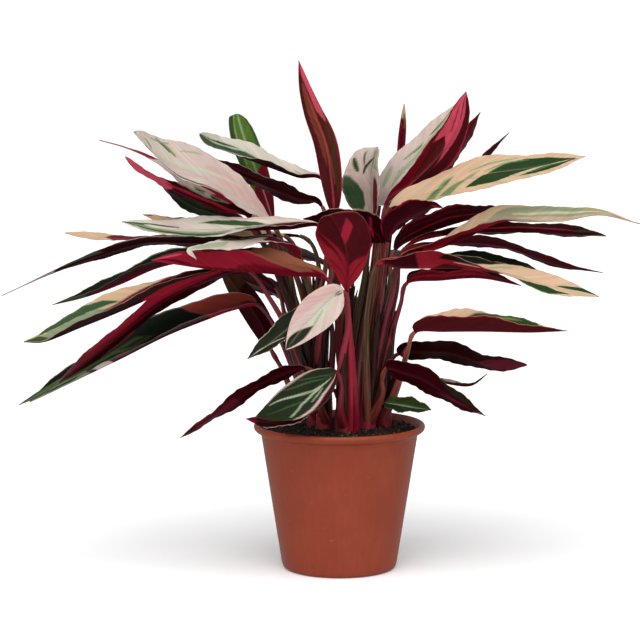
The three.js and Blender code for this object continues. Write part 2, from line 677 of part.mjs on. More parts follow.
// The skin over a blade's rings of six: top right, middle, left, then the same three underneath.
// Both faces are split along the same diagonals.
function bladeSkin(rings) {
  const corners = rings.flat().flatMap((p) => [p.x, p.y, p.z]);
  const faces = [];
  const quad = (a, b, c, d) => faces.push(a, b, c, a, c, d);
  for (let i = 0; i + 1 < rings.length; i++) {
    const a = i * 6;
    const b = a + 6;
    quad(a, b, b + 1, a + 1);
    quad(a + 1, b + 1, b + 2, a + 2);
    quad(a + 2, b + 2, b + 3, a + 3);
    quad(b + 3, b + 4, a + 4, a + 3);
    quad(b + 4, b + 5, a + 5, a + 4);
    quad(a + 5, b + 5, b, a);
  }
  const end = (rings.length - 1) * 6;
  quad(0, 1, 4, 5);
  quad(1, 2, 3, 4);
  quad(end + 1, end, end + 5, end + 4);
  quad(end + 2, end + 1, end + 4, end + 3);
  const geometry = new THREE.BufferGeometry();
  geometry.setAttribute("position", new THREE.Float32BufferAttribute(corners, 3));
  geometry.setIndex(faces);
  return geometry;
}

// ---------------------------------------------------------------- the whole plant

const plant = new THREE.Group();

function addPiece(name, geometry, material) {
  const piece = new THREE.Mesh(geometry, material);
  piece.name = name;
  plant.add(piece);
}

addPiece("pot", makePot(), TERRACOTTA);
addPiece("soil", makeSoil(), PEAT);
for (const name of Object.keys(SHOOTS)) addPiece("shoot_" + name, makeShoot(name), STALK);
LEAVES.forEach((leaf, number) => {
  const order = LEAVES.filter((other) => other.shoot === leaf.shoot).indexOf(leaf);
  addPiece("leaf_" + leaf.name, makeBlade(leaf, order, number), COLOURS[leaf.colour]);
});

export default plant;
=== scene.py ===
# The looks of a potted Stromanthe 'Triostar': painted blades, streaked stalks, a nursery pot and its peat.
# Sizes are in millimetres as the part's source has them, and the pieces are made in metres.
import math

import bmesh
import bpy
import numpy as np
from mathutils import Euler, Matrix, Vector, noise


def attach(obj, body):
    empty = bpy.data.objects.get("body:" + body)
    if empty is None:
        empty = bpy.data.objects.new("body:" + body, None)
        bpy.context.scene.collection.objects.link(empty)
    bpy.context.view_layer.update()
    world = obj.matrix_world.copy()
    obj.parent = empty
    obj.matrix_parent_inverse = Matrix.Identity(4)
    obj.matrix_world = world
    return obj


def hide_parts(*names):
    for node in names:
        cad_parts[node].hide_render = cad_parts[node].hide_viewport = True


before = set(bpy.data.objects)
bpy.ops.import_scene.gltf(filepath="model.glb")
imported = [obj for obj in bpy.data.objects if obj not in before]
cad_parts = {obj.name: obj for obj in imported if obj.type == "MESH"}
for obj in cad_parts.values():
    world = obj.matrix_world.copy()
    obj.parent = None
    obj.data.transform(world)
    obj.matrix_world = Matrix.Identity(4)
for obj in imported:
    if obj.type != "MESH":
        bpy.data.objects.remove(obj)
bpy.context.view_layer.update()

MM = 0.001
RNG = np.random.default_rng(7)

# ---------------------------------------------------------------- dimensions, as in the part's source

RIM_RADIUS = 85
POT_HEIGHT = 145
BASE_RADIUS = 55
BASE_FLARE = 2.5
WALL = 1.6
FLOOR = 2.4
RIM_DEPTH = 9
RIM_OVERHANG = 7.5
DRAIN_HOLES = 8
DRAIN_RADIUS = 4
DRAIN_CIRCLE = 36
SOIL_EDGE = 139
SOIL_MOUND = 3
SOIL_LUMP = 0.7
CLEARANCE = 0.35
FOOT_RADIUS = 8.5
FOOT_RISE = 7
FOOT_DEPTH = 22
FOOT_SPREAD = 2.6
FOOT_TURN = 2.4
SHEATH_HEIGHT = 70
SHEATH_TOP = 5.4
STALK_FOOT = 5.4
STALK_TOP = 2.1
KNEE_LENGTH = 15
KNEE_RADIUS = 2.7
BLADE_THICKNESS = 0.8
RIB_DEPTH = 1.4
NECK_WIDTH = 2.2
TIP_WIDTH = 0.5
WIDEST = 0.4
TAPER = 0.9
CURL = -16
WAVE_HEIGHT = 1.4
WAVES = 2.6
EYE_ACROSS = -19
EYE_BACK = 2192
EYE_HEIGHT = 511

SHOOTS = {
    "left": (-24, 6),
    "front_left": (-15, -15),
    "front": (4, -30),
    "right_front": (27, -12),
    "right": (44, 8),
    "back": (12, 42),
    "back_left": (-17, 34),
}

# ---------------------------------------------------------------- tones

# Each tone is about the sRGB colour that it has in the render.
TONES = {
    "white": "d8cdbe", "blush": "dac4ba", "pink": "d8b4ac", "cream": "d9b894", "peach": "dbb998",
    "pale": "cdd0b8", "tan": "be825f", "clay": "a0624a", "brick": "983c34", "sienna": "7d3e2d",
    "mint": "a5b291", "sage": "8f9f7e", "fern": "78915f", "lime": "789146", "grass": "4e6b28",
    "leaf": "304a20", "moss": "40583a", "green": "2c4526", "deep": "28391f", "ivy": "3e4a24",
    "night": "262e1e", "black": "161c14", "rose": "d04e62", "carmine": "961c30", "scarlet": "92202c",
    "crimson": "721322", "rosewood": "8a3440", "mulberry": "5c1c2a", "maroon": "50151c",
    "wine": "3c0f17", "plum": "46121c", "ink": "2e0c12", "mahogany": "541e1e", "umber": "4b3020",
    "bark": "3c281c", "olive": "6c5a3a", "dry": "6e624b", "ash": "a39c92", "soot": "2a1a16",
    "salmon": "b4685e", "copper": "96503c", "hay": "a9a07a", "claret": "44141c", "ruby": "a9243a",
}
LIGHT = 1.6
HAZE = 0.004
DARKEST = 0.001
AMBIENT = 0.5
BACKDROP = 1.05


def linear(name):
    """The tone as a linear colour, without the studio's light and haze."""
    srgb = np.array([int(TONES[name][i:i + 2], 16) for i in (0, 2, 4)]) / 255
    seen = np.where(srgb <= 0.04045, srgb / 12.92, ((srgb + 0.055) / 1.055) ** 2.4)
    return np.maximum(seen - HAZE, DARKEST) / LIGHT


def mixed(first, second, share):
    return first * (1 - share) + second * share


# ---------------------------------------------------------------- the leaves, as in the part's source


def leaf_of(name, shoot, colour, width, fold, roll, stalk, rib, **shape):
    return dict(name=name, shoot=shoot, colour=colour, width=width, fold=fold, roll=roll, stalk=stalk,
                rib=rib, **shape)


LEAVES = [
    leaf_of("left_01", "left", "pink", 31, [10, 18, 18], -40, [(-39, 238, -2), (-50, 300, -8)],
            [(-62, 336, -15), (-88, 361, -28), (-130, 387, -48), (-172, 405, -66), (-201, 433, -85)],
            widest=.55, taper=.75),
    leaf_of("left_02", "back_left", "cream", 16, 34, [-8, -15, -50], [(-14, 238, 25), (-2, 317, 16)],
            [(-14, 383, 14), (-41, 390, 21), (-70, 400, 29), (-100, 411, 36), (-123, 420, 40),
             (-137, 431, 42)], widest=.6, taper=.6),
    leaf_of("left_03", "back_left", "green", 13.5, [12, 8, 4, -20, -40], 0,
            [(-34, 262, 48), (-51, 310, 52)],
            [(-64, 342, 56), (-73, 370, 60), (-82, 395, 66), (-91, 418, 74), (-98, 441, 86),
             (-100, 451, 102), (-97, 442, 128)], widest=.5, facing=90),
    leaf_of("left_04", "back_left", "maroon", 19, 2, 30, [(-19, 238, 20), (-6, 305, 8)],
            [(-17, 360, 2), (-42, 369, 6), (-76, 383, 10), (-107, 397, 14), (-137, 413, 18)]),
    leaf_of("left_05", "left", "pink", 16, 5, -31, [(-36, 238, 8), (-54, 297, 4)],
            [(-76, 345, 0), (-110, 363, -4), (-147, 383, -10), (-184, 407, -16), (-210, 418, -20),
             (-235, 425, -24)], widest=.3, taper=3),
    leaf_of("left_06", "left", "crimson", 12, 10, 25, [(-39, 233, -12), (-61, 292, -18)],
            [(-88, 349, -26), (-115, 357, -34), (-152, 372, -44), (-184, 388, -52), (-198, 397, -56),
             (-210, 409, -60)], widest=.3, taper=.6),
    leaf_of("left_07", "left", "green", 15, 4, -29, [(-35, 233, 12), (-53, 282, 12)],
            [(-86, 337, 10), (-115, 350, 8), (-142, 359, 6), (-164, 372, 2), (-178, 385, 0)]),
    leaf_of("left_08", "back_left", "cream", 12, 4, -28, [(-24, 248, 28), (-34, 297, 26)],
            [(-54, 331, 22), (-98, 335, 20), (-132, 339, 18), (-162, 344, 12), (-193, 352, 6)], widest=.6),
    leaf_of("left_09", "front_left", "cream", 17, [50, 34, 12, 6, 6], [-12, -16, -26, -34, -40],
            [(-27, 238, -34), (-14, 297, -44)],
            [(-17, 339, -50), (-51, 339, -55), (-88, 338, -61), (-132, 338, -69), (-176, 339, -77),
             (-214, 345, -84)], widest=.5),
    leaf_of("left_10", "back_left", "pink", 11, 4, -15, [(-29, 253, 42), (-39, 302, 50)],
            [(-63, 327, 60), (-118, 326, 74), (-177, 327, 84), (-224, 329, 92), (-270, 334, 98)],
            widest=.55, taper=.5),
    leaf_of("left_11", "back_left", "maroon", 12.5, 4, 33, [(-23, 258, 30), (-21, 305, 32)],
            [(-39, 331, 34), (-98, 326, 44), (-147, 325, 54), (-191, 325, 62), (-236, 312, 70),
             (-278, 297, 78), (-333, 272, 88)], widest=.33, taper=1.7),
    leaf_of("left_12", "left", "maroon", 15, 44, -14, [(-39, 248, 14), (-59, 292, 18)],
            [(-86, 311, 20), (-132, 309, 24), (-177, 301, 28), (-216, 284, 31), (-251, 271, 34),
             (-283, 263, 36)]),
    leaf_of("left_13", "front_left", "crimson", 24, 58, [-30, -24, -4, 12, 18],
            [(-21, 223, -42), (-9, 263, -48)],
            [(-13, 289, -52), (-49, 293, -58), (-88, 296, -68), (-130, 299, -82), (-185, 307, -104)],
            widest=.45),
    leaf_of("left_14", "front_left", "cream", 12, [20, 8, 5], [0, -14, -28],
            [(-27, 223, -30), (-28, 268, -32)],
            [(-40, 303, -38), (-49, 320, -48), (-72, 326, -62), (-103, 322, -80), (-129, 320, -96),
             (-147, 317, -106), (-141, 308, -112)]),
    leaf_of("left_15", "front_left", "green", 20, [35, 40, 45, 45, 40], [0, -2, -15, -22, -28],
            [(-44, 223, -30), (-68, 268, -32)],
            [(-93, 299, -34), (-133, 292, -42), (-172, 277, -50), (-217, 257, -59), (-256, 241, -67),
             (-291, 227, -74), (-312, 226, -78)], widest=.6),
    leaf_of("left_16", "left", "maroon", 24, 3, [28, 28, 28, 22, -15], [(-46, 218, -6), (-54, 253, -8)],
            [(-63, 280, -8), (-98, 297, -6), (-137, 286, -8), (-177, 265, -12), (-217, 233, -18),
             (-257, 202, -26), (-292, 177, -34), (-318, 163, -42)], widest=.46),
    leaf_of("left_17", "left", "crimson", 23, 41, -27, [(-48, 206, 12), (-66, 245, 18)],
            [(-82, 263, 22), (-106, 259, 20), (-133, 249, 18), (-172, 233, 14), (-217, 210, 8),
             (-262, 188, 2), (-307, 166, -4)], taper=.7),
    leaf_of("left_18", "back_left", "maroon", 13, 12, 0, [(-43, 170, 30), (-56, 197, 40)],
            [(-68, 219, 46), (-77, 243, 48), (-92, 268, 48), (-108, 289, 46), (-117, 309, 42)], facing=-90),
    leaf_of("top_01", "back", "maroon", 11.8, 12, 0, [(1, 208, 16), (-2, 287, -2)],
            [(-5, 350, -12), (-8, 386, -15), (-14, 422, -18), (-26, 452, -21), (-34, 476, -23),
             (-40, 502, -24)], widest=.4, facing=-90),
    leaf_of("top_02", "back", "green", 31, 48, -28, [(12, 218, 34), (25, 292, 30)],
            [(31, 348, 27), (31, 372, 27), (31, 398, 30), (37, 418, 38)], widest=.45, taper=.8, facing=90),
    leaf_of("top_03", "back", "cream", 17, 5, 41, [(18, 218, 38), (32, 297, 36)],
            [(39, 361, 34), (54, 388, 38), (79, 417, 44), (113, 460, 54)], widest=.32),
    leaf_of("top_04", "right", "crimson", 17, 2, -55, [(28, 218, 12), (40, 297, 8)],
            [(45, 361, 6), (69, 382, 3), (95, 408, -1), (111, 432, -5), (118, 452, -8), (123, 472, -10)],
            widest=.55),
    leaf_of("top_05", "back", "maroon", 16, 4, -39, [(22, 223, 48), (40, 297, 54)],
            [(51, 356, 60), (84, 381, 66), (113, 410, 74), (137, 452, 84)], widest=.55),
    leaf_of("top_06", "right", "maroon", 8, 6, -32, [(32, 223, 26), (45, 292, 30)],
            [(56, 353, 34), (96, 378, 40), (135, 402, 48), (165, 432, 56)], widest=.6),
    leaf_of("top_07", "back", "crimson", 5, 40, 0, [(24, 228, 54), (38, 297, 64)],
            [(50, 366, 74), (58, 401, 76), (61, 430, 78), (63, 460, 80)], widest=.6, facing=90),
    leaf_of("right_01", "right", "cream", 25, 5, 36, [(34, 223, 2), (36, 309, -4)],
            [(49, 359, -8), (84, 373, -18), (133, 390, -32), (186, 398, -50), (240, 409, -68)], widest=.45),
    leaf_of("right_02", "right_front", "maroon", 18, 20, -30, [(36, 228, -16), (43, 287, -26)],
            [(47, 325, -32), (56, 343, -40), (73, 352, -46), (90, 359, -50), (101, 359, -54)], widest=.5),
    leaf_of("right_03", "right", "maroon", 25, 31, -22, [(42, 228, 18), (49, 282, 20)],
            [(54, 317, 22), (84, 334, 26), (120, 346, 32), (163, 357, 40)]),
    leaf_of("right_04", "right_front", "cream", 17, 37, [0, 5, 30, 36, 40],
            [(40, 223, -22), (52, 272, -26)],
            [(61, 311, -30), (92, 318, -34), (128, 332, -40), (158, 346, -46), (187, 346, -52),
             (221, 347, -58), (256, 352, -66), (295, 343, -72)], widest=.42, taper=1.4),
    leaf_of("right_05", "right", "maroon", 18, 11, -24, [(46, 223, 24), (56, 277, 24)],
            [(64, 319, 22), (108, 334, 20), (167, 336, 16), (217, 334, 10), (262, 331, 4)], widest=.6,
            taper=.6),
    leaf_of("right_06", "right", "maroon", 11, 6, -30, [(42, 233, 4), (52, 282, 6)],
            [(61, 315, 8), (99, 323, 12), (133, 325, 16), (163, 321, 20), (192, 311, 25), (222, 301, 30),
             (259, 295, 34)]),
    leaf_of("right_07", "right", "green", 15, 10, 24, [(40, 238, -8), (48, 277, -12)],
            [(58, 301, -14), (94, 306, -18), (133, 306, -22), (168, 302, -26), (205, 290, -32)], widest=.5),
    leaf_of("right_08", "right_front", "crimson", 22, [60, 46, 14, 8, 8], [-12, -10, 0, 28, 34],
            [(26, 223, -36), (28, 263, -42)],
            [(36, 301, -46), (59, 300, -50), (89, 300, -56), (119, 300, -63), (148, 297, -70),
             (178, 291, -78), (207, 282, -87), (232, 276, -94), (256, 271, -100)], widest=.45),
    leaf_of("right_09", "right_front", "maroon", 14, 48, 5, [(50, 228, -20), (60, 263, -24)],
            [(67, 285, -28), (99, 288, -34), (138, 290, -40), (179, 282, -46)], widest=.28),
    leaf_of("right_10", "right", "maroon", 21, 59, 8, [(57, 182, -14), (67, 216, -44)],
            [(75, 236, -70), (104, 237, -80), (144, 237, -88), (188, 236, -98), (225, 237, -108)],
            widest=.3, taper=1.1),
    leaf_of("right_11", "right_front", "maroon", 16.5, 2, -44, [(42, 173, -16), (46, 200, -22)],
            [(58, 214, -26), (80, 217, -31), (109, 216, -37), (146, 205, -44), (186, 203, -52)], widest=.35,
            taper=.6),
    leaf_of("right_12", "right_front", "maroon", 21, 2, -46, [(42, 172, -26), (42, 188, -32)],
            [(47, 200, -38), (62, 196, -43), (80, 190, -49), (99, 179, -56), (119, 167, -66),
             (145, 152, -78)], widest=.32),
    leaf_of("right_13", "right", "maroon", 6, 29, -5, [(44, 173, 8), (52, 188, 8)],
            [(64, 194, 6), (88, 190, 2), (112, 184, -4), (131, 183, -12), (146, 194, -20)]),
    leaf_of("right_14", "right_front", "green", 13, 10, 26, [(34, 158, -12), (38, 163, -15)],
            [(44, 165, -18), (58, 163, -24), (74, 160, -34), (91, 158, -44)]),
    leaf_of("front_01", "front", "crimson", 26.5, 12, 0, [(8, 198, -46), (8, 238, -50)],
            [(7, 275, -58), (8, 298, -64), (6, 320, -74), (-1, 339, -86), (-10, 352, -96)], widest=.65,
            taper=.55, facing=-90),
    leaf_of("front_02", "right_front", "maroon", 24, -15, 49, [(30, 223, -8), (38, 282, -10)],
            [(42, 324, -16), (26, 340, -22), (-2, 348, -27), (-36, 348, -32)], widest=.35),
    leaf_of("front_03", "front", "pink", 18, 8, -60, [(1, 196, -50), (9, 246, -57)],
            [(4, 276, -64), (-17, 260, -76), (-36, 240, -88), (-53, 218, -98)]),
    leaf_of("front_04", "front_left", "green", 14, 13, -29, [(-8, 198, -34), (-8, 243, -40)],
            [(-21, 264, -46), (-43, 246, -56), (-66, 227, -66), (-91, 209, -76)]),
    leaf_of("front_05", "front_left", "maroon", 15, 0, 42, [(-19, 163, -34), (-21, 187, -40)],
            [(-34, 200, -46), (-67, 190, -54), (-94, 174, -64), (-123, 154, -76), (-158, 130, -90)]),
    leaf_of("front_06", "front", "green", 19, 8, -55, [(1, 158, -48), (2, 182, -58)],
            [(-3, 196, -66), (-13, 190, -74), (-28, 177, -86), (-46, 165, -98), (-68, 155, -110),
             (-83, 151, -116)], widest=.45),
    leaf_of("front_07", "front", "maroon", 16, 5, 50, [(1, 150, -38), (0, 166, -42)],
            [(-6, 178, -48), (-17, 168, -57), (-33, 158, -68), (-51, 150, -79), (-71, 147, -89),
             (-93, 149, -97)]),
    leaf_of("back_01", "back_left", "green", 26, 12, 26, [(-13, 238, 36), (-11, 278, 42)],
            [(-10, 300, 50), (-36, 311, 95), (-66, 308, 150), (-92, 292, 205)], widest=.3),
    leaf_of("back_02", "back", "cream", 22, 12, 0, [(5, 238, 50), (9, 292, 56)],
            [(10, 327, 64), (12, 333, 120), (16, 322, 180), (20, 298, 240)]),
    leaf_of("back_03", "back", "green", 20, 12, 0, [(18, 238, 54), (34, 280, 66)],
            [(46, 306, 76), (72, 312, 116), (98, 306, 160), (122, 290, 200)]),
    leaf_of("back_04", "back_left", "crimson", 22, 8, 42, [(-22, 200, 40), (-31, 240, 48)],
            [(-43, 264, 56), (-64, 276, 70), (-86, 285, 88), (-108, 292, 108), (-124, 298, 124)]),
    leaf_of("back_05", "back", "maroon", 18, 12, 0, [(18, 208, 54), (18, 243, 64)],
            [(18, 268, 72), (24, 266, 115), (30, 246, 155), (34, 210, 190)]),
]

# What each blade shows, and, by colour, what a blade shows that has no look of its own. A look is (low,
# middle and high tone, level, marks). The level runs from 0, where only the low tone shows, to 1, where
# only the high one does. A mark is (a level or a tone, width in mm, point, point, ...): a stroke along its
# points, or with no width the patch inside them. In a point the first number runs from 0 at the stalk to 1
# at the tip, and the second from -1 to 1, where 1 is the edge that is further back, or further right on
# an upright blade.
# The vivid reds of the undersides and the brightest greens, as on top_04 and left_03, are partly the
# blades' own colour and partly painted glow of light shining through the thin blades.
TOPS = {
    "left_01": ("blush mint fern", .12, [
        ("pink", 12, (.05, .5), (.5, .35)), ("pale", 2, (.3, .5), (.6, .15), (.97, .05)),
        ("white", 0, (.74, .2), (.78, .95), (1, .5), (1, -.4), (.84, -.2)),
        ("fern", 2, (.7, .35), (.77, .6), (.86, .85)), ("moss", 1, (.74, .42), (.79, .6), (.83, .7)),
        ("sage", 1.6, (.76, .8), (.9, .65)), ("sage", 1.6, (.86, .1), (.93, .35)),
        ("sage", 1.3, (.84, -.3), (.97, -.1)), ("mint", 1, (.55, .8), (.68, .6)),
        ("moss", 1.6, (.42, -.97), (.62, -.9), (.82, -.85))]),
    "left_02": ("white mint moss", .12, [
        (.95, 0, (.46, 0), (.56, .3), (.68, .45), (.86, .5), (1, .2), (1, -1), (.8, -1), (.55, -.6)),
        ("pale", .8, (.66, .32), (.97, .2)), ("mint", 1.4, (.1, .6), (.14, .3)),
        ("mint", 1.6, (.17, .2), (.26, .4)), ("pale", 2, (.3, .15), (.55, .35), (.8, .6))]),
    "left_03": ("white lime grass", .85, [
        ("leaf", 4, (.3, -.85), (.62, -.85), (.97, -.7)),
        ("fern", .8, (.42, -.45), (.65, -.5), (.93, -.35)), ("fern", 1, (.3, .1), (.98, .05)),
        ("leaf", 1.5, (.3, .9), (.9, .9)), ("crimson", 0, (0, -1), (0, 1), (.42, 1), (.36, .2), (.22, -1)),
        ("mint", 1.2, (.93, .1), (1, .1))]),
    "left_05": ("blush mint moss", .12, [
        (.9, 0, (.24, 0), (.3, .25), (.33, -.1), (.31, -.6), (.27, -.5)),
        (.7, 0, (.35, .2), (.43, .15), (.42, -.5), (.36, -.55)), ("sage", 2, (.46, -.1), (.56, -.5)),
        ("carmine", 0, (0, .1), (.2, .6), (.34, .6), (.45, .12), (.3, .05)),
        ("pink", 1.5, (.3, .2), (.5, .05)), ("carmine", 0, (.66, 1), (1, 1), (1, -1), (.72, -1))]),
    "left_07": ("mint moss deep", .92, [
        (.3, 1.5, (.5, .97), (.95, .9)), ("maroon", 0, (0, 1), (.22, 1), (.18, -1), (0, -1))]),
    "left_08": ("peach mint moss", .1, [
        (.95, 2, (.45, .95), (.7, .85), (.88, .95)), (.52, 2.5, (.7, .4), (.84, -.3)),
        ("crimson", 3, (.94, .6), (1, .2))]),
    "left_09": ("white mint moss", .12, [
        ("pink", 3, (.05, .95), (.5, .95)),
        ("sage", 0, (.44, -.3), (.58, -.5), (.74, -.4), (.88, .1), (.97, 0), (.9, -.9), (.6, -1),
         (.48, -.75)),
        (.95, 0, (.27, .3), (.33, .58), (.43, .7), (.54, .62), (.62, .42), (.5, .3), (.38, .2)),
        ("blush", 0, (.63, .05), (.7, .5), (.85, .6), (.8, .1), (.72, -.05)),
        ("moss", 2.4, (.5, -.75), (.68, -.85), (.84, -.6), (.96, -.2)),
        ("moss", 1.6, (.72, .1), (.86, .35), (.98, .2)),
        (.95, 0, (.84, -.2), (.92, .4), (1, .4), (1, -.4), (.94, -.6)),
        ("blush", 1.6, (.48, -.1), (.7, -.28), (.84, 0)),
        ("maroon", 0, (0, .6), (.12, .62), (.2, .45), (.3, .22), (.44, .05), (.44, -.4), (0, -.4))]),
    "left_10": ("cream peach tan", .1, [("crimson", 0, (0, 1), (.77, .9), (.81, 0), (.76, -1), (0, -1))]),
    "left_12": ("sage moss black", .95, [(.1, 1, (.1, .98), (.9, .98))]),
    "left_13": ("clay crimson deep", .1, [
        (.5, 0, (.5, 1), (.42, .6), (.26, .3), (.1, .05), (.1, -.1), (1, -.1), (1, 1)),
        (.95, 2, (.42, .95), (.6, .95))]),
    "left_14": ("white mint moss", .14, [
        (.52, 0, (.6, .5), (.8, .8), (.92, .3), (.85, -.5), (.7, -.4)),
        ("umber", 2.4, (.28, .8), (.45, .75), (.66, .9)), ("blush", 2, (.4, -.1), (.62, .1)),
        ("crimson", 0, (0, 1), (.28, .9), (.36, .2), (.3, -1), (0, -1))]),
    "left_15": ("cream sage moss", .1, [
        ("ink", 0, (0, 1), (.22, .95), (.34, .78), (.44, .5), (.55, .2), (.5, 0), (0, 0)),
        ("crimson", 1.6, (.12, .97), (.3, .92), (.42, .62), (.55, .32), (.7, .15)),
        (.5, 0, (.6, .3), (.7, .55), (.84, .6), (.95, .65), (.98, .2), (.8, 0), (.66, .1)),
        (.96, 0, (.55, .42), (.62, .75), (.72, 1), (.92, 1), (.94, .75), (.82, .6), (.7, .55)),
        ("moss", 0, (.89, .1), (.94, .8), (1, .6), (1, -.4), (.95, -.3))]),
    "left_16": ("sage moss ivy", .7, [("sage", 1, (.88, .2), (1, 0))]),
    "left_17": ("pale moss black", .95, [
        ("ivy", 0, (.44, .2), (.5, .5), (.62, .45), (.75, .3), (.98, .4), (.98, -.1), (.6, .05)),
        ("sage", .9, (.72, .16), (.96, .22)), ("mulberry", 2.4, (.5, .75), (.65, .6), (.9, .5)),
        ("night", 2, (.46, .3), (.62, .25), (.74, .15)), ("moss", 1, (.5, .1), (.62, .35), (.8, .3)),
        ("brick", 0, (-.05, 1), (.3, 1), (.27, .6), (.2, .05), (.2, -1), (-.05, -1)),
        ("crimson", 3, (0, .2), (.06, .2))]),
    "top_02": ("blush mint leaf", .12, [
        (.5, 0, (.6, .9), (.95, .8), (.95, -.2), (.7, .1)), ("leaf", 1.6, (.6, -.3), (.68, -.25), (.84, 0)),
        ("leaf", 2.4, (.63, -.5), (.74, -.85)), ("moss", 1.3, (.7, -.3), (.87, -.6)),
        ("moss", 1, (.62, .1), (.74, .3), (.9, .25)), ("sage", 1.4, (.4, .3), (.56, .6)),
        ("moss", 0, (.12, -.45), (.2, -.28), (.36, -.28), (.48, -.46), (.57, -.75), (.58, -1), (.15, -1)),
        ("pink", 1.5, (.12, -.16), (.36, -.18), (.52, -.4), (.62, -.75), (.63, -1)),
        ("crimson", 0, (.05, .9), (.3, .9), (.52, .7), (.55, .45), (.4, .3), (.05, .35)),
        ("pale", 1.5, (.3, .25), (.6, .3), (.8, .6))]),
    "top_03": ("blush mint leaf", .12, [
        (.5, 0, (.12, .3), (.5, .4), (.95, .6), (1, 0), (.8, .05), (.5, .05), (.3, -.1)),
        ("leaf", 1.4, (.69, -.08), (.8, .06), (.95, .16)), ("moss", 1, (.5, -.14), (.58, -.08)),
        ("mint", 3, (.14, -.3), (.3, -.6)), ("sage", 1.2, (.4, -.3), (.6, -.1))]),
    "top_07": ("rosewood crimson maroon", .4, [
        ("cream", 0, (.84, 1), (1, 1), (1, -1), (.86, -1)), ("olive", 1.6, (.76, .6), (.9, .4))]),
    "right_01": ("peach fern green", .1, [
        ("fern", 0, (.2, -.8), (.24, -.1), (.3, .3), (.355, .38), (.31, 0), (.275, -.5), (.25, -.9)),
        ("fern", 0, (.27, -.85), (.33, -.3), (.4, 0), (.48, .22), (.41, -.15), (.37, -.5), (.33, -1)),
        ("sage", 1.2, (.43, .3), (.56, .55), (.66, .75)), ("moss", .9, (.23, -.6), (.27, -.1), (.33, .25)),
        (.98, 0, (.41, -.72), (.5, -.08), (.6, .42), (.7, .68), (.82, .6), (.95, .2), (.95, -.05),
         (.87, .05), (.745, -.15), (.66, -.5), (.58, -.72)),
        (.98, 0, (.69, -.66), (.8, -.16), (.95, 0), (.97, -.2), (.87, -.62), (.76, -.72)),
        ("pale", .9, (.64, -.52), (.745, -.2), (.94, .08)), ("fern", 1, (.5, .1), (.62, .5), (.72, .6)),
        ("fern", 1, (.74, -.5), (.84, -.2), (.93, -.1))]),
    "right_02": ("carmine crimson wine", .9, [("crimson", 2.5, (.85, .5), (1, 0))]),
    "right_03": ("carmine crimson wine", .92, [
        ("crimson", 1.6, (.05, .1), (.5, .12), (.92, .1)), ("carmine", 1.2, (.1, .97), (.8, .97)),
        ("deep", 3, (.45, -.5), (.95, -.6)), ("blush", 1, (.3, -.9), (.7, -.9))]),
    "right_04": ("peach mint moss", .1, [
        ("hay", 0, (.36, .15), (.46, .8), (.62, 1.1), (.84, 1), (.94, .3), (.8, .15), (.6, .3), (.45, .1)),
        ("sage", 2, (.42, .5), (.56, .85), (.78, .75)), ("pale", 1.6, (.48, .35), (.66, .55), (.88, .4)),
        ("moss", 1, (.9, .3), (.99, .1)), ("pale", 1.2, (.5, .1), (.9, .1))]),
    "right_05": ("cream mint moss", .6, [(.95, 3, (.7, .9), (.95, .9))]),
    "right_07": ("cream moss black", .98, [
        ("cream", .8, (.35, -.97), (.85, -.97)), ("umber", 3, (.84, .6), (.95, .6))]),
    "right_08": ("peach mint green", .1, [
        # The black patch at the back edge near the stalk is painted shade of the dark gap behind the blade.
        (.5, 3, (.5, .2), (.6, .6)), ("black", 0, (.28, 1), (.34, .5), (.42, .25), (.5, .55), (.57, 1)),
        (.97, 0, (.8, .08), (.88, .5), (.93, 1), (1, 1), (.98, .4), (.88, .12)),
        (.97, 0, (.65, -.9), (.7, -.5), (.77, -.22), (.82, -.5), (.89, -.68), (.85, -.8), (.8, -1),
         (.66, -1)), ("carmine", 0, (0, 1), (.2, 1), (.3, .5), (.42, .2), (.42, -.2), (0, -.2))]),
    "right_09": ("carmine crimson black", .9, [("crimson", 2, (.1, .95), (.9, .95))]),
    "right_10": ("peach fern leaf", .1, [
        ("leaf", 0, (.3, .4), (.4, .85), (.5, 1), (.8, 1.1), (.84, .3)),
        ("black", 1.6, (.36, .5), (.6, .4), (.82, .4)), ("lime", 1.2, (.5, .8), (.7, .8))]),
    "right_12": ("mint moss black", .9, []),
    "right_14": ("sage ivy black", .52, [
        ("deep", 0, (0, -.15), (1, -.15), (1, -1), (0, -1)), ("sage", .9, (.05, .02), (.97, .02)),
        ("deep", .9, (.2, .4), (.5, .8)), ("moss", .7, (.35, -.2), (.6, -.6)),
        ("deep", .9, (.45, .3), (.75, .6))]),
    "front_03": ("blush mint deep", .1, [
        ("pink", 0, (.05, -.2), (.3, -.3), (.6, -.5), (.8, -.9), (.4, -1.1), (.1, -.8)),
        ("pale", 0, (.08, .1), (.3, .38), (.66, .48), (.6, .1), (.3, -.05)),
        ("olive", 1.6, (.02, .3), (.1, .12)), ("olive", 1.6, (.04, -.1), (.13, .05)),
        ("mint", 1, (.35, .1), (.5, .3), (.62, .4)), ("white", 2, (.3, -.2), (.55, -.1)),
        ("night", 0, (.58, .4), (.78, .68), (.95, .7), (1, .2), (1, -.8), (.92, -.8), (.8, -.35), (.7, 0)),
        ("pink", 1, (.1, -.95), (.9, -.95))]),
    "front_04": ("blush deep night", .95, [
        ("blush", 1.1, (.56, -.7), (.7, -.2), (.85, .05), (.97, 0)), ("moss", .8, (.3, -.1), (.6, -.3)),
        ("blush", .8, (.5, .99), (.85, .99))]),
    "front_06": ("moss moss night", .97, [
        ("mint", 1.1, (.1, .3), (.24, .2), (.36, .18), (.54, .34), (.7, .8)),
        ("mint", 1.1, (.18, .24), (.34, .06), (.52, -.22), (.82, -.66)), ("sage", .8, (.24, .3), (.44, .5)),
        ("moss", .9, (.1, .1), (.3, -.4), (.6, -.78)), ("moss", .9, (.5, .2), (.66, .1), (.88, .1)),
        ("moss", .8, (.04, .1), (.18, -.35), (.4, -.8)), ("crimson", 1.5, (0, .2), (.1, .25)),
        ("wine", 0, (-.1, .75), (.3, .7), (.5, .95), (.6, 1.3), (-.1, 1.3)),
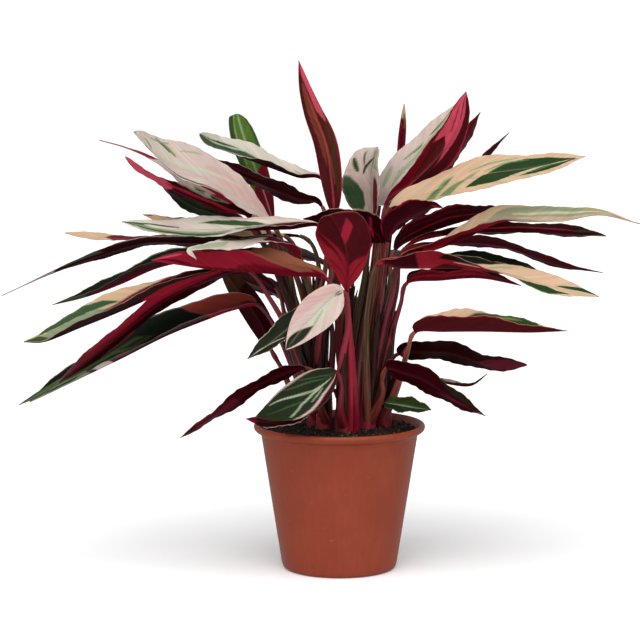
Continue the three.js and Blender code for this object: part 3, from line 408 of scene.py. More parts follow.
        ("pink", 1.2, (0, .62), (.3, .6), (.5, .86), (.68, 1)), ("pink", 1.4, (.05, -.97), (.85, -.97)),
        ("wine", 2, (.9, .5), (1, 0))]),
    "front_07": ("blush moss night", .92, []),
    "maroon": ("cream mint deep", .5, []),
    "crimson": ("cream mint deep", .4, []),
    "cream": ("cream mint green", .3, []),
    "green": ("cream moss deep", .75, []),
}
UNDERSIDES = {
    "left_02": ("carmine maroon wine", .9, [("crimson", 4, (.02, -.5), (.22, -.5))]),
    "left_04": ("carmine crimson wine", .92, [
        ("carmine", 1.5, (.1, .95), (.6, .97)), ("crimson", 2, (.5, -.4), (.95, -.2))]),
    "left_06": ("carmine crimson wine", .88, [
        ("rose", 0, (.62, 1), (1, 1), (1, -1), (.7, -1), (.6, -.3)), ("carmine", 5, (.02, .8), (.16, 0)),
        ("ruby", 2, (.12, -.1), (.3, -.45), (.5, -.4), (.66, -.3)), ("sage", 1.2, (.2, -.97), (.6, -.97))]),
    "left_09": ("carmine crimson wine", .9, []),
    "left_11": ("carmine crimson ink", .95, [
        ("ash", 0, (.82, 1), (1, 1), (1, -1), (.8, -1)),
        ("moss", 0, (.63, -.4), (.66, -1), (.79, -1), (.77, -.5)), ("blush", 1, (.3, -.95), (.6, -.97)),
        ("sage", 2, (.9, -.5), (1, 0))]),
    "left_12": ("carmine mulberry wine", .62, [
        (.2, 1.5, (.3, -.1), (.8, -.1)), ("moss", 0, (.84, 0), (1, 0), (1, -1), (.8, -1))]),
    "left_13": ("carmine crimson wine", .16, [
        ("clay", 0, (.08, -.55), (.16, -.3), (.25, -.62), (.4, -.9), (.5, -1), (.1, -1)),
        (.5, 6, (.05, -.2), (.5, -.2)), (.7, 3, (.78, -.1), (.9, -.3), (.97, -.5)),
        # The dark stroke along the midrib is painted shadow of the rib.
        (.7, 1.5, (.1, -.04), (.8, -.04)), ("rose", 3, (.85, -.8), (1, -.6))]),
    "left_14": ("carmine crimson wine", .3, [("maroon", 3, (.45, -.5), (.68, -.5))]),
    "left_15": ("carmine crimson ink", .92, [
        (.15, 0, (.1, .1), (.44, .1), (.47, -.1), (.37, -.45), (.12, -.6))]),
    "left_16": ("carmine mulberry wine", .9, [
        ("crimson", 0, (.5, -.1), (.9, -.1), (.9, -1), (.6, -1)),
        ("carmine", 0, (.1, -.2), (.3, -.08), (.45, -.15), (.6, -.3), (.72, -.6), (.72, -1), (.1, -1)),
        ("ruby", 4.5, (.34, -.4), (.5, -.6), (.6, -.8)), ("crimson", 4, (.05, .5), (.3, .3)),
        ("blush", 1.5, (.85, .9), (.86, -.9)), ("ivy", 0, (.88, 1), (1, 1), (1, -1), (.88, -1))]),
    "left_17": ("carmine mulberry wine", .8, [
        ("carmine", 0, (0, .1), (.2, .1), (.2, -1), (0, -1)), ("carmine", 2.5, (.55, -.1), (.62, -.8)),
        ("blush", 0, (.63, 0), (.7, 0), (.72, -1), (.65, -1)),
        ("sage", 0, (.73, 0), (1, 0), (1, -1), (.75, -1))]),
    "left_18": ("crimson umber wine", .85, [("umber", 0, (.66, 1), (1, 1), (1, -1), (.6, -1))]),
    "top_01": ("rose sienna mahogany", .95, [
        (.52, 0, (.3, -.2), (.5, .1), (.7, .25), (.88, -.05), (.85, -.5), (.6, -.6), (.4, -.5)),
        ("umber", 3, (.15, .6), (.35, .5), (.58, .65)), ("sienna", 1.2, (.2, .3), (.45, 0), (.66, -.1)),
        # The patch of the low rose tone towards the tip is painted highlight, the sheen of the light on the
        # glossy blade.
        (.05, 0, (.57, .75), (.66, .95), (.96, .95), (1, .5), (1, -.3), (.9, -.05), (.8, .3), (.68, .35)),
        ("carmine", 1.6, (.05, .97), (.6, .97)), ("carmine", 2.4, (.93, -.6), (1, .1)),
        ("crimson", 4, (.02, 0), (.12, 0)), ("maroon", 1.5, (.1, -.97), (.9, -.97))]),
    "top_04": ("rose carmine maroon", .95, [
        ("mahogany", 0, (.18, 0), (.32, .35), (.46, .3), (.62, -.15), (.6, -.42), (.35, -.35)),
        (.05, 0, (.38, .3), (.6, .32), (.85, .5), (1, .4), (1, -.85), (.7, -.9), (.57, -.75), (.66, -.4),
         (.6, -.1), (.5, .12)), ("crimson", 0, (0, 1), (.12, 1), (.3, -.3), (.56, -.8), (.5, -1), (0, -1)),
        ("maroon", 0, (.3, .5), (.6, .5), (.86, .75), (.8, 1), (.3, 1)),
        ("maroon", .9, (.8, .12), (.97, -.05)), ("carmine", .9, (.7, -.2), (.92, -.4)),
        ("carmine", 1.2, (.3, .97), (.8, .97))]),
    "top_05": ("carmine crimson maroon", .75, [("blush", 2.4, (.5, -.97), (.78, -.97))]),
    "top_06": ("crimson maroon plum", .92, []),
    "right_02": ("carmine crimson wine", .9, [
        ("carmine", 2.5, (.86, -.3), (1, 0)), ("carmine", 1.4, (.1, -.97), (.8, -.97))]),
    "right_03": ("carmine maroon claret", .8, [
        ("carmine", 2, (.1, -.95), (.7, -.95)), ("ruby", 1.1, (.1, -.25), (.5, -.35), (.9, -.2)),
        ("crimson", 1, (.2, -.6), (.75, -.65))]),
    "right_04": ("scarlet maroon ink", .12, [
        ("wine", 0, (0, .6), (.08, .3), (.1, -.6), (0, -.9)),
        ("maroon", 0, (.15, 0), (.25, .25), (.38, .05), (.26, -.4)),
        ("pale", 0, (.4, -.3), (.55, 0), (.57, -1), (.36, -1)),
        ("peach", 0, (.55, .1), (1, .1), (1, -1), (.57, -1)), ("ash", 1.6, (.88, -.1), (.9, -.9))]),
    "right_05": ("carmine crimson wine", .92, [
        ("ruby", 1.4, (.4, -.22), (.6, -.45), (.86, -.35)),
        ("scarlet", 0, (0, 1), (.2, 1), (.2, -.3), (0, -1)),
        ("sage", 0, (.88, 1), (1, 1), (1, -.3), (.92, 0)), ("leaf", 2.4, (.85, -.3), (.93, -.7)),
        (.5, 5, (.5, .5), (.75, .4))]),
    "right_06": ("carmine crimson plum", .95, [("scarlet", 0, (0, 1), (.08, .7), (.12, -.5), (0, -1))]),
    "right_08": ("scarlet maroon wine", .12, [
        ("wine", 0, (.03, .5), (.2, .5), (.185, -1), (.04, -1)),
        (.6, 0, (.24, 0), (.32, .2), (.43, 0), (.32, -.22)),
        ("ink", 0, (.29, -.55), (.42, -.5), (.45, -1), (.33, -1)),
        ("blush", 1.2, (.36, -.38), (.47, -.3))]),
    "right_09": ("carmine crimson wine", .6, [
        (.2, 2, (.05, -.4), (.7, -.45)), (.2, 2, (.1, -.95), (.8, -.9))]),
    "right_10": ("carmine crimson maroon", .88, [(.3, 1.2, (.05, -.95), (.9, -.97))]),
    "right_11": ("crimson mulberry ink", .95, [
        (.5, 0, (.6, .1), (.74, 1), (1, 1), (1, -1), (.72, -.5)), ("crimson", 2, (.85, .2), (1, .1)),
        ("clay", 2, (.02, .8), (.08, -.5))]),
    "right_12": ("crimson mulberry wine", .9, [
        ("night", 0, (.5, -.75), (.6, -.4), (.7, -.2), (.85, -.3), (.88, -.6), (.6, -1)),
        ("sage", 2, (.93, 0), (1, 0)), (.5, 3, (.5, .5), (.8, .3))]),
    "right_13": ("crimson maroon plum", .9, []),
    "front_01": ("scarlet crimson maroon", .1, [
        ("maroon", 0, (.3, 0), (.36, .4), (.38, .9), (.6, 1.1), (.85, 1), (1, .5), (1, -1), (.9, -1.1),
         (.74, -.75), (.56, -.4), (.42, -.1)),
        ("crimson", 0, (.36, 0), (.44, -.3), (.7, -.75), (.95, -1), (.8, -1), (.55, -.75)),
        ("ruby", 0, (.56, -.05), (.62, .16), (.74, .5), (.86, .5), (.78, .15), (.68, -.1)),
        ("maroon", 1.1, (.34, -.25), (.55, -.6), (.8, -.9)), ("maroon", 2, (0, 0), (.08, 0)),
        ("crimson", .9, (.1, .1), (.26, .5), (.36, .9)),
        ("crimson", .9, (.1, -.1), (.26, -.5), (.36, -.85)), ("maroon", 1, (.08, 0), (.35, 0)),
        ("claret", 1.2, (.36, .02), (.6, -.05), (.9, -.1))]),
    "front_02": ("carmine crimson wine", .88, [
        ("ruby", 1.6, (.12, .3), (.24, -.1), (.32, -.7)), ("crimson", 3, (.6, -.5), (.7, -.7)),
        ("pink", .9, (.1, .97), (.95, .97)), ("pink", .8, (.3, -.97), (.95, -.97))]),
    "front_05": ("crimson mulberry plum", .92, [
        (.5, 0, (.5, .8), (.88, .8), (.88, -.8), (.55, -.5)), ("moss", 3, (.93, 0), (1, 0))]),
    "front_07": ("carmine crimson ink", .92, [
        ("pink", 1.2, (.1, .97), (.8, .97)), ("crimson", 0, (.88, 1), (1, 1), (1, -1), (.9, -1))]),
    "back_04": ("crimson maroon wine", .9, []),
    "maroon": ("crimson maroon wine", .8, []),
    "crimson": ("carmine crimson maroon", .5, []),
    "cream": ("carmine crimson maroon", .6, []),
    "pink": ("carmine crimson maroon", .5, []),
    "green": ("crimson maroon wine", .75, []),
}

# ---------------------------------------------------------------- node materials


def material(name):
    made = bpy.data.materials.new(name)
    made.use_nodes = True
    tree = made.node_tree
    shader = next(n for n in tree.nodes if n.type == "BSDF_PRINCIPLED")
    return made, tree, shader


def add(tree, kind, inputs=(), **settings):
    """A node with its settings and inputs; an input is a value or another node's output."""
    made = tree.nodes.new(kind)
    for key, value in settings.items():
        setattr(made, key, value)
    for key, value in dict(inputs).items():
        if isinstance(value, bpy.types.NodeSocket):
            tree.links.new(value, made.inputs[key])
        else:
            made.inputs[key].default_value = value
    return made


def attribute(tree, name, output="Color"):
    return add(tree, "ShaderNodeAttribute", attribute_name=name).outputs[output]


def grain(tree, where, scale, detail=2.0, roughness=0.55):
    inputs = {"Vector": where, "Scale": scale, "Detail": detail, "Roughness": roughness}
    return add(tree, "ShaderNodeTexNoise", inputs).outputs["Fac"]


def stretch(tree, where, scale):
    inputs = {0: where, 1: scale}
    return add(tree, "ShaderNodeVectorMath", inputs, operation="MULTIPLY").outputs[0]


def remap(tree, value, low, high, to_low=0.0, to_high=1.0, smooth=False):
    inputs = {"Value": value, "From Min": low, "From Max": high, "To Min": to_low, "To Max": to_high}
    kind = "SMOOTHSTEP" if smooth else "LINEAR"
    return add(tree, "ShaderNodeMapRange", inputs, interpolation_type=kind).outputs[0]


def sums(tree, operation, a, b):
    return add(tree, "ShaderNodeMath", {0: a, 1: b}, operation=operation).outputs[0]


def blend(tree, factor, a, b, how="MIX"):
    """Two colours mixed; each is three numbers or another node's output."""
    a, b = (one if isinstance(one, bpy.types.NodeSocket) else (*one, 1) for one in (a, b))
    return add(tree, "ShaderNodeMix", {0: factor, 6: a, 7: b}, data_type="RGBA", blend_type=how).outputs[2]


def shade(tree, colour, factor):
    """The colour made lighter or darker by a factor."""
    grey = add(tree, "ShaderNodeCombineXYZ", {0: factor, 1: factor, 2: factor}).outputs[0]
    return blend(tree, 1.0, colour, grey, "MULTIPLY")


def relief(tree, shader, height, distance, strength):
    inputs = {"Height": height, "Distance": distance, "Strength": strength}
    tree.links.new(add(tree, "ShaderNodeBump", inputs).outputs[0], shader.inputs["Normal"])


def finish(tree, shader, colour, rough, rough_grain, rough_spread, specular):
    tree.links.new(colour, shader.inputs["Base Color"])
    shiny = remap(tree, rough_grain, 0.3, 0.7, rough - rough_spread, rough + rough_spread)
    tree.links.new(shiny, shader.inputs["Roughness"])
    shader.inputs["Specular IOR Level"].default_value = specular


LOW_EDGE = 0.36
HIGH_EDGE = 0.68
STREAK_FORCE = 0.8
BLADE_SPECULAR = 0.04
STALK_SPECULAR = 0.2
POT_SPECULAR = 0.25
SOIL_SPECULAR = 0.25
FLOOR_SPECULAR = 0.5
FINE_RELIEF = 0.0004
POT_RELIEF = 0.00015
SOIL_RELIEF = 0.0008
POT_DARK = (0.185, 0.026, 0.008)
POT_LIGHT = (0.210, 0.033, 0.011)
POT_SCUFF = (0.44, 0.22, 0.16)
SOIL_FIBRE = (0.11, 0.06, 0.03)
FLOOR_DARK = (0.86, 0.86, 0.86)
FLOOR_LIGHT = (0.90, 0.90, 0.90)


def blade_material():
    """Three tones that meet along the side veins, where the level field and its streaks say."""
    made, tree, shader = material("blade")
    veins = attribute(tree, "veins", "Vector")
    streaks = grain(tree, veins, 1.0, 4.0, 0.6)
    shift = sums(tree, "MULTIPLY", sums(tree, "SUBTRACT", streaks, 0.5), STREAK_FORCE)
    level = sums(tree, "ADD", attribute(tree, "level", "Fac"), shift)
    crisp = attribute(tree, "crisp", "Fac")
    colour = attribute(tree, "low")
    for edge, tone in ((LOW_EDGE, "middle"), (HIGH_EDGE, "high")):
        over = sums(tree, "MULTIPLY", sums(tree, "SUBTRACT", level, edge), crisp)
        colour = blend(tree, remap(tree, over, -0.5, 0.5, smooth=True), colour, attribute(tree, tone))
    fine = grain(tree, stretch(tree, veins, (3.0, 0.8, 1.0)), 1.0, 2.0)
    mottle = grain(tree, stretch(tree, veins, (0.35, 0.5, 1.0)), 1.0, 3.0)
    lit = sums(tree, "MULTIPLY", remap(tree, fine, 0.3, 0.7, 0.9, 1.08),
               remap(tree, mottle, 0.25, 0.75, 0.86, 1.12))
    finish(tree, shader, shade(tree, colour, lit), 0.42, mottle, 0.07, BLADE_SPECULAR)
    relief(tree, shader, fine, FINE_RELIEF, 0.6)
    return made


def stalk_material():
    """Fine streaks of two tones along the stalk."""
    made, tree, shader = material("stalk")
    fibres = attribute(tree, "fibres", "Vector")
    streaks = grain(tree, fibres, 1.0, 3.0, 0.65)
    colour = blend(tree, remap(tree, streaks, 0.38, 0.62, smooth=True), attribute(tree, "low"),
                   attribute(tree, "high"))
    mottle = grain(tree, stretch(tree, fibres, (0.3, 1.6, 1.0)), 1.0, 2.0)
    colour = shade(tree, colour, remap(tree, mottle, 0.3, 0.7, 0.84, 1.14))
    finish(tree, shader, colour, 0.4, mottle, 0.08, STALK_SPECULAR)
    relief(tree, shader, streaks, FINE_RELIEF, 0.5)
    return made


def pot_material():
    """Moulded satin plastic, slightly clouded, with dust and faint scuffs."""
    made, tree, shader = material("terracotta_plastic")
    here = add(tree, "ShaderNodeTexCoord").outputs["Object"]
    cloud = grain(tree, here, 22.0, 4.0)
    drawn = grain(tree, stretch(tree, here, (260.0, 260.0, 9.0)), 1.0, 2.0)
    scuff = remap(tree, grain(tree, stretch(tree, here, (90.0, 90.0, 240.0)), 1.0, 4.0, 0.7), 0.66, 0.76)
    colour = blend(tree, remap(tree, cloud, 0.3, 0.7), POT_DARK, POT_LIGHT)
    colour = shade(tree, colour, remap(tree, drawn, 0.3, 0.7, 0.95, 1.05))
    colour = blend(tree, sums(tree, "MULTIPLY", scuff, 0.3), colour, POT_SCUFF)
    finish(tree, shader, colour, 0.44, cloud, 0.06, POT_SPECULAR)
    relief(tree, shader, grain(tree, here, 900.0, 2.0), POT_RELIEF, 0.4)
    return made


def soil_material():
    """Damp peat, nearly black, with paler fibres; the crumbs carry their own tone."""
    made, tree, shader = material("peat")
    here = add(tree, "ShaderNodeTexCoord").outputs["Object"]
    clods = grain(tree, here, 260.0, 5.0, 0.7)
    fibre = remap(tree, grain(tree, stretch(tree, here, (900.0, 300.0, 500.0)), 1.0, 4.0), 0.6, 0.72)
    colour = blend(tree, remap(tree, clods, 0.35, 0.7), attribute(tree, "low"), attribute(tree, "high"))
    colour = blend(tree, sums(tree, "MULTIPLY", fibre, 0.35), colour, SOIL_FIBRE)
    finish(tree, shader, colour, 0.85, clods, 0.1, SOIL_SPECULAR)
    relief(tree, shader, grain(tree, here, 700.0, 4.0, 0.7), SOIL_RELIEF, 0.9)
    return made


def floor_material():
    made, tree, shader = material("floor")
    here = add(tree, "ShaderNodeTexCoord").outputs["Object"]
    cloud = grain(tree, here, 3.0, 2.0)
    finish(tree, shader, blend(tree, cloud, FLOOR_DARK, FLOOR_LIGHT), 0.7, cloud, 0.03, FLOOR_SPECULAR)
    return made


# ---------------------------------------------------------------- meshes


def mesh_of(name, corners, faces, sharp=50, **attributes):
    """A mesh in metres from corners in millimetres, with a value, vector or colour at each corner."""
    mesh = bpy.data.meshes.new(name)
    mesh.from_pydata((np.asarray(corners) * MM).tolist(), [], faces)
    for key, values in attributes.items():
        values = np.asarray(values, np.float32)
        if values.ndim == 1:
            mesh.attributes.new(key, "FLOAT", "POINT").data.foreach_set("value", values)
        elif key in ("veins", "fibres"):
            mesh.attributes.new(key, "FLOAT_VECTOR", "POINT").data.foreach_set("vector", values.ravel())
        else:
            rgba = np.ones((len(values), 4), np.float32)
            rgba[:, :3] = values
            mesh.attributes.new(key, "FLOAT_COLOR", "POINT").data.foreach_set("color", rgba.ravel())
    mesh.shade_smooth()
    mesh.set_sharp_from_angle(angle=math.radians(sharp))
    return mesh


def piece(name, mesh, look, slot, *nodes):
    made = bpy.data.objects.new(name, mesh)
    mesh.materials.append(look)
    bpy.context.scene.collection.objects.link(made)
    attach(made, "root")
    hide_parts(*nodes)


def grid_faces(rows, columns, closed, start=0, flip=False):
    """Quads over a grid of corners, row by row; a closed one joins its last column to its first."""
    faces = []
    for i in range(rows - 1):
        for j in range(columns if closed else columns - 1):
            a = start + i * columns + j
            b = start + i * columns + (j + 1) % columns
            quad = (a, b, b + columns, a + columns)
            faces.append(quad[::-1] if flip else quad)
    return faces


def shell_faces(rows, columns):
    """Faces of a closed shell between two grids of corners, the top one first."""
    count = rows * columns
    faces = grid_faces(rows, columns, False, flip=True) + grid_faces(rows, columns, False, start=count)
    for i in range(rows - 1):
        a, b = i * columns, (i + 1) * columns
        faces.append((a, b, b + count, a + count))
        a, b = a + columns - 1, b + columns - 1
        faces.append((a, a + count, b + count, b))
    for j in range(columns - 1):
        a, b = j, j + 1
        faces.append((a, a + count, b + count, b))
        a, b = count - columns + j, count - columns + j + 1
        faces.append((a, b, b + count, a + count))
    return faces


# ---------------------------------------------------------------- the leaves' lines

CURVE_SAMPLES = 241
CURVE_STEP = 1e-4


def place(point):
    """A point of the front elevation, brought back along the line of sight to its depth."""
    across, height, depth = point
    spread = 1 + depth / EYE_BACK
    x = EYE_ACROSS + (across - EYE_ACROSS) * spread
    return np.array([x, depth, EYE_HEIGHT + (height - EYE_HEIGHT) * spread])


def line_of(leaf, order):
    """The points of the leaf's whole line, and where along it the blade begins."""
    x, y = SHOOTS[leaf["shoot"]]
    turn = order * FOOT_TURN
    foot = [x + FOOT_SPREAD * math.cos(turn), y + FOOT_SPREAD * math.sin(turn), SOIL_EDGE + FOOT_RISE]
    points = np.array([foot] + [place(p) for p in leaf["stalk"] + leaf["rib"]])
    return points, (len(leaf["stalk"]) + 1) / (len(points) - 1)


def curve_at(points, u):
    """Points of the smooth curve through the given ones, at parameters from 0 to 1."""
    spans = len(points) - 1
    ends = 2 * points[0] - points[1], 2 * points[-1] - points[-2]
    knots = np.vstack([ends[0], points, ends[1]])
    place_in = np.clip(u, 0, 1) * spans
    i = np.minimum(place_in.astype(int), spans - 1)
    w = (place_in - i)[:, None]
    a, b, c, d = (knots[i + k] for k in range(4))
    leave, arrive = (c - a) / 2, (d - b) / 2
    bend = 3 * (c - b) - 2 * leave - arrive
    return b + leave * w + bend * w ** 2 + (2 * (b - c) + leave + arrive) * w ** 3


def unit(vectors):
    return vectors / np.linalg.norm(vectors, axis=-1, keepdims=True)


def walk(points, start, end, fractions):
    """Places at fractions of the way from one parameter to another, their directions, and the length."""
    samples = np.linspace(start, end, CURVE_SAMPLES)
    steps = np.linalg.norm(np.diff(curve_at(points, samples), axis=0), axis=1)
    lengths = np.concatenate([[0], np.cumsum(steps)])
    u = np.interp(np.asarray(fractions) * lengths[-1], lengths, samples)
    after, before = np.minimum(u + CURVE_STEP, 1), np.maximum(u - CURVE_STEP, 0)
    along = unit(curve_at(points, after) - curve_at(points, before))
    return curve_at(points, u), along, lengths[-1]


def across_of(leaf, along):
    """The direction across a blade or stalk, level before any roll."""
    start, end = place(leaf["rib"][0]), place(leaf["rib"][-1])
    heading = math.atan2(end[1] - start[1], end[0] - start[0])
    if "facing" in leaf:
        heading = math.radians(leaf["facing"])
    side = np.array([-math.sin(heading), math.cos(heading), 0])
    return unit(side - along * (along @ side)[:, None])


def between(values, f):
    """The value at fractions f of a list of evenly spaced ones, or the one value."""
    values = np.atleast_1d(values)
    return np.interp(f, np.linspace(0, 1, len(values)), values)


def outline(f, widest, taper):
    swell = taper * widest / (1 - widest)
    return (f / widest) ** swell * ((1 - f) / (1 - widest)) ** taper


# ---------------------------------------------------------------- blades

CELL_LENGTH = 1.6
CELL_WIDTH = 1.05
FEWEST_CELLS = 8
RIB_CELL = 0.3
EDGE_CELL = 0.35
VEIN_SLANT = 1.8
STREAK_LENGTH = 34
STREAK_WIDTH = 3.0
BLADE_SEED = 7.3
FACE_SEED = 3.1
CRISP = (11, 3.5)
RIB_LINE = 0.7
RIB_PALE = 0.5
RIB_FADE = 0.8
RIB_FULL = 8
MARGIN = 0.93
MARGIN_PALE = 0.5
PATCH_EDGE = 2.2
STROKE_END = 0.4
STROKE_SWELL = 0.7
STROKE_REACH = 1.5
RELIEF_FULL = 10
GROOVE = 0.5
GROOVE_WIDTH = 1.3
RIDGE_WIDTH = 1.5
PLEAT_HEIGHT = 0.12
PLEAT_LENGTH = 9
RUFFLE_HEIGHT = 0.35
RUFFLES = 11
WAVE_REACH = 1.5
RUFFLE_REACH = 4
MIDDLE_THICKNESS = 0.9
EDGE_THINNING = 0.45
DRY_TIP = 0.985
DRYNESS = 0.7


def share_of(points, width, along, across):
    """How much of a mark each place has, from 0 to 1: of a stroke, or of a patch if the width is 0."""
    best = np.zeros(across.shape)
    nearest = np.full(across.shape, np.inf)
    inside = np.zeros(across.shape, bool)
    ends = points[1:] if width else points[1:] + points[:1]
    for i, ((x, y), (x1, y1)) in enumerate(zip(points, ends)):
        run, rise = x1 - x, y1 - y
        t = np.clip(((along - x) * run + (across - y) * rise) / (run ** 2 + rise ** 2), 0, 1)
        away = np.hypot(along - x - t * run, across - y - t * rise)
        if width:
            swell = STROKE_END + (1 - STROKE_END) * np.sin(np.pi * (i + t) / len(ends)) ** STROKE_SWELL
            best = np.maximum(best, np.clip(STROKE_REACH - away / (width * swell), 0, 1))
            continue
        nearest = np.minimum(nearest, away)
        if y1 != y:
            inside ^= ((y > across) != (y1 > across)) & (along < run * (across - y) / rise + x)
    return best if width else np.clip(0.5 + np.where(inside, nearest, -nearest) / PATCH_EDGE, 0, 1)


def painted(look, along, across, length, half, width):
    """The level and the three tones of a face at each corner."""
    names, level, marks = look
    fill = np.ones(across.shape)
    tones = [fill[..., None] * linear(name) for name in names.split()]
    level = fill * level
    for what, wide, *points in marks:
        places = [(f * length, v * width) for f, v in points]
        share = share_of(places, wide, along * length, across * width)
        if isinstance(what, str):
            share = (share ** 2 * (3 - 2 * share))[..., None]
            tones = [mixed(tone, linear(what), share) for tone in tones]
        else:
            level = mixed(level, what, share)
    rib = RIB_PALE * np.exp(-(half * across / RIB_LINE) ** 2) * (1 - RIB_FADE * along)
    margin = MARGIN_PALE * np.clip((np.abs(across) - MARGIN) / (1 - MARGIN), 0, 1)
    line = np.maximum(rib * np.clip(half / RIB_FULL, 0, 1), margin)[..., None]
    tip = DRYNESS * np.clip((along - DRY_TIP) / (1 - DRY_TIP), 0, 1)[..., None]
    lowest = linear(names.split()[0])
    return level, [mixed(mixed(tone, lowest, line), linear("dry"), tip) for tone in tones]


def make_blade(leaf, order, number):
    points, split = line_of(leaf, order)
    length = walk(points, split, 1, [1])[2]
    f = CLEARANCE / length + (1 - CLEARANCE / length) * np.linspace(0, 1, round(length / CELL_LENGTH) + 1)
    rib, along, _ = walk(points, split, 1, f)
    level_side = across_of(leaf, along)
    roll = np.radians(between(leaf["roll"], f))[:, None]
    side = level_side * np.cos(roll) + np.cross(along, level_side) * np.sin(roll)
    up = np.cross(along, side)
    neck = NECK_WIDTH * (1 - f) + TIP_WIDTH * f
    shape = outline(f, leaf.get("widest", WIDEST), leaf.get("taper", TAPER))
    half = np.maximum(leaf["width"] * shape, neck)[:, None]

    cells = max(FEWEST_CELLS, round(leaf["width"] / CELL_WIDTH))
    outer = np.concatenate([[RIB_CELL], np.arange(1, cells), [cells - EDGE_CELL, cells]]) / cells
    v = np.concatenate([-outer[::-1], [0], outer])[None]
    sign, t = np.sign(v), np.abs(v)
    row = f[:, None]
    out = np.minimum(1, half / RELIEF_FULL)
    curl = math.radians(CURL)
    first = np.radians(between(leaf["fold"], f))[:, None] - curl / 2
    turn = first + curl * t
    reach = half * (np.sin(turn) - np.sin(first)) / curl
    rise = half * (np.cos(first) - np.cos(turn)) / curl
    wave = WAVE_HEIGHT * np.sin(2 * np.pi * WAVES * row + number) * out
    ruffle = RUFFLE_HEIGHT * np.sin(2 * np.pi * RUFFLES * row + 3 * number + sign) * out
    vein = row * length - VEIN_SLANT * half * t
    pleat = PLEAT_HEIGHT * np.sin(2 * np.pi * vein / PLEAT_LENGTH) * out * t
    groove = GROOVE * np.exp(-(half * t / GROOVE_WIDTH) ** 2) * out
    lift = rise + sign * wave * t ** WAVE_REACH + ruffle * t ** RUFFLE_REACH + pleat - groove
    top = rib[:, None] + side[:, None] * (sign * reach)[..., None] + up[:, None] * lift[..., None]

    down = side[:, None] * (sign * np.sin(turn))[..., None] - up[:, None] * np.cos(turn)[..., None]
    ridge = RIB_DEPTH * (1 - row) * np.exp(-(half * t / RIDGE_WIDTH) ** 2)
    thickness = BLADE_THICKNESS * (MIDDLE_THICKNESS - EDGE_THINNING * t) + ridge
    under = top + down * thickness[..., None]

    middle_side = side.mean(axis=0)
    outward = middle_side[1] if abs(middle_side[1]) > abs(middle_side[0]) else middle_side[0]
    across = (v * np.sign(outward)) * np.ones_like(row)
    seed = np.full(vein.shape, BLADE_SEED * number)
    streak = np.stack([vein / STREAK_WIDTH, half * v / STREAK_LENGTH, seed], -1).reshape(-1, 3)
    levels, tones, veins = [], [], []
    for layer, looks in enumerate((TOPS, UNDERSIDES)):
        look = looks.get(leaf["name"]) or looks[leaf["colour"]]
        level, three = painted(look, row, across, length, half, leaf["width"])
        levels.append(level.ravel())
        tones.append([tone.reshape(-1, 3) for tone in three])
        veins.append(streak + [0, 0, FACE_SEED * layer])
    low, middle, high = (np.vstack(pair) for pair in zip(*tones))
    corners = np.vstack([top.reshape(-1, 3), under.reshape(-1, 3)])
    return mesh_of("blade_" + leaf["name"], corners, shell_faces(*vein.shape), veins=np.vstack(veins),
                   level=np.concatenate(levels), crisp=np.repeat(CRISP, vein.size), low=low,
                   middle=middle, high=high)


# ---------------------------------------------------------------- shoots

STALK_SIDES = 12
STALK_ROWS = 40
CHANNEL_DEPTH = 0.16
RED_HEIGHT = 90
FIBRE_RADIUS = 1.6
FIBRE_LENGTH = 45
STALK_TONES = [("rosewood", "salmon"), ("mulberry", "copper"), ("maroon", "rosewood"), ("umber", "olive"),
               ("crimson", "rosewood"), ("maroon", "bark"), ("umber", "copper")]
SHOOT_TONES = {"left": 3, "front_left": 1, "front": 0, "right_front": 1, "right": 4, "back": 2,
               "back_left": 5}
OWN_STALKS = {"right_10": ("copper", "salmon"), "front_01": ("copper", "ruby"),
              "front_03": ("ruby", "rosewood"), "front_06": ("crimson", "rosewood"),
              "left_13": ("crimson", "rosewood"), "front_07": ("crimson", "claret")}
# Young stalks beside the stalk of a leaf: how far to the side, how far up it, and the two tones.
COMPANIONS = {"front_01": ((-7.5, 0.8, "umber", "rosewood"), (-3, 0.7, "ruby", "rosewood"),
                           (4, 0.95, "ruby", "carmine"), (8.5, 0.85, "carmine", "crimson"))}
COMPANION_FORWARD = -2.5
COMPANION_SINK = 5
COMPANION_CLOSING = 0.75
COMPANION_LEVELS = (0, 0.9, 1)
COMPANION_RADII = (4.6, 2.6, 0.4)
# Near-black tubes between the stalks that paint the shade in the gaps there: how far up the stalks they
# reach, their rows, their place between two stalks, and their radii along them.
SHADE_SPEAR_REACH = 0.74
SHADE_SPEAR_ROWS = 20
SHADE_SPEAR_SHARE = 0.45
SHADE_SPEAR_LEVELS = (0, 0.7, 1)
SHADE_SPEAR_RADII = (5.0, 3.4, 0.5)
SHEATH_SIDES = 32
SHEATH_ROWS = 24
SHEATH_RIBS = 5
SHEATH_RIB_SHARE = 0.05


class Tubes:
    """Collects closed tubes into one mesh."""

    def __init__(self):
        self.corners, self.faces, self.low, self.high, self.fibres = [], [], [], [], []

    def add(self, rings, low, high, seed):
        rows, around = rings.shape[:2]
        start = len(self.corners)
        self.corners += rings.reshape(-1, 3).tolist()
        self.faces += grid_faces(rows, around, True, start)
        self.faces.append(tuple(range(start, start + around))[::-1])
        self.faces.append(tuple(range(start + (rows - 1) * around, start + rows * around)))
        for kept, tone in ((self.low, low), (self.high, high)):
            kept += np.broadcast_to(tone, (rows, around, 3)).reshape(-1, 3).tolist()
        turn = np.linspace(0, 2 * np.pi, around, endpoint=False)[None]
        centres = rings.mean(axis=1)
        run = np.concatenate([[0], np.cumsum(np.linalg.norm(np.diff(centres, axis=0), axis=1))])
        round_it = FIBRE_RADIUS * np.cos(turn), FIBRE_RADIUS * np.sin(turn) + seed
        fibres = np.stack(np.broadcast_arrays(*round_it, run[:, None] / FIBRE_LENGTH), -1)
        self.fibres += fibres.reshape(-1, 3).tolist()

    def mesh(self, name):
        return mesh_of(name, self.corners, self.faces, sharp=60, low=self.low, high=self.high,
                       fibres=self.fibres)


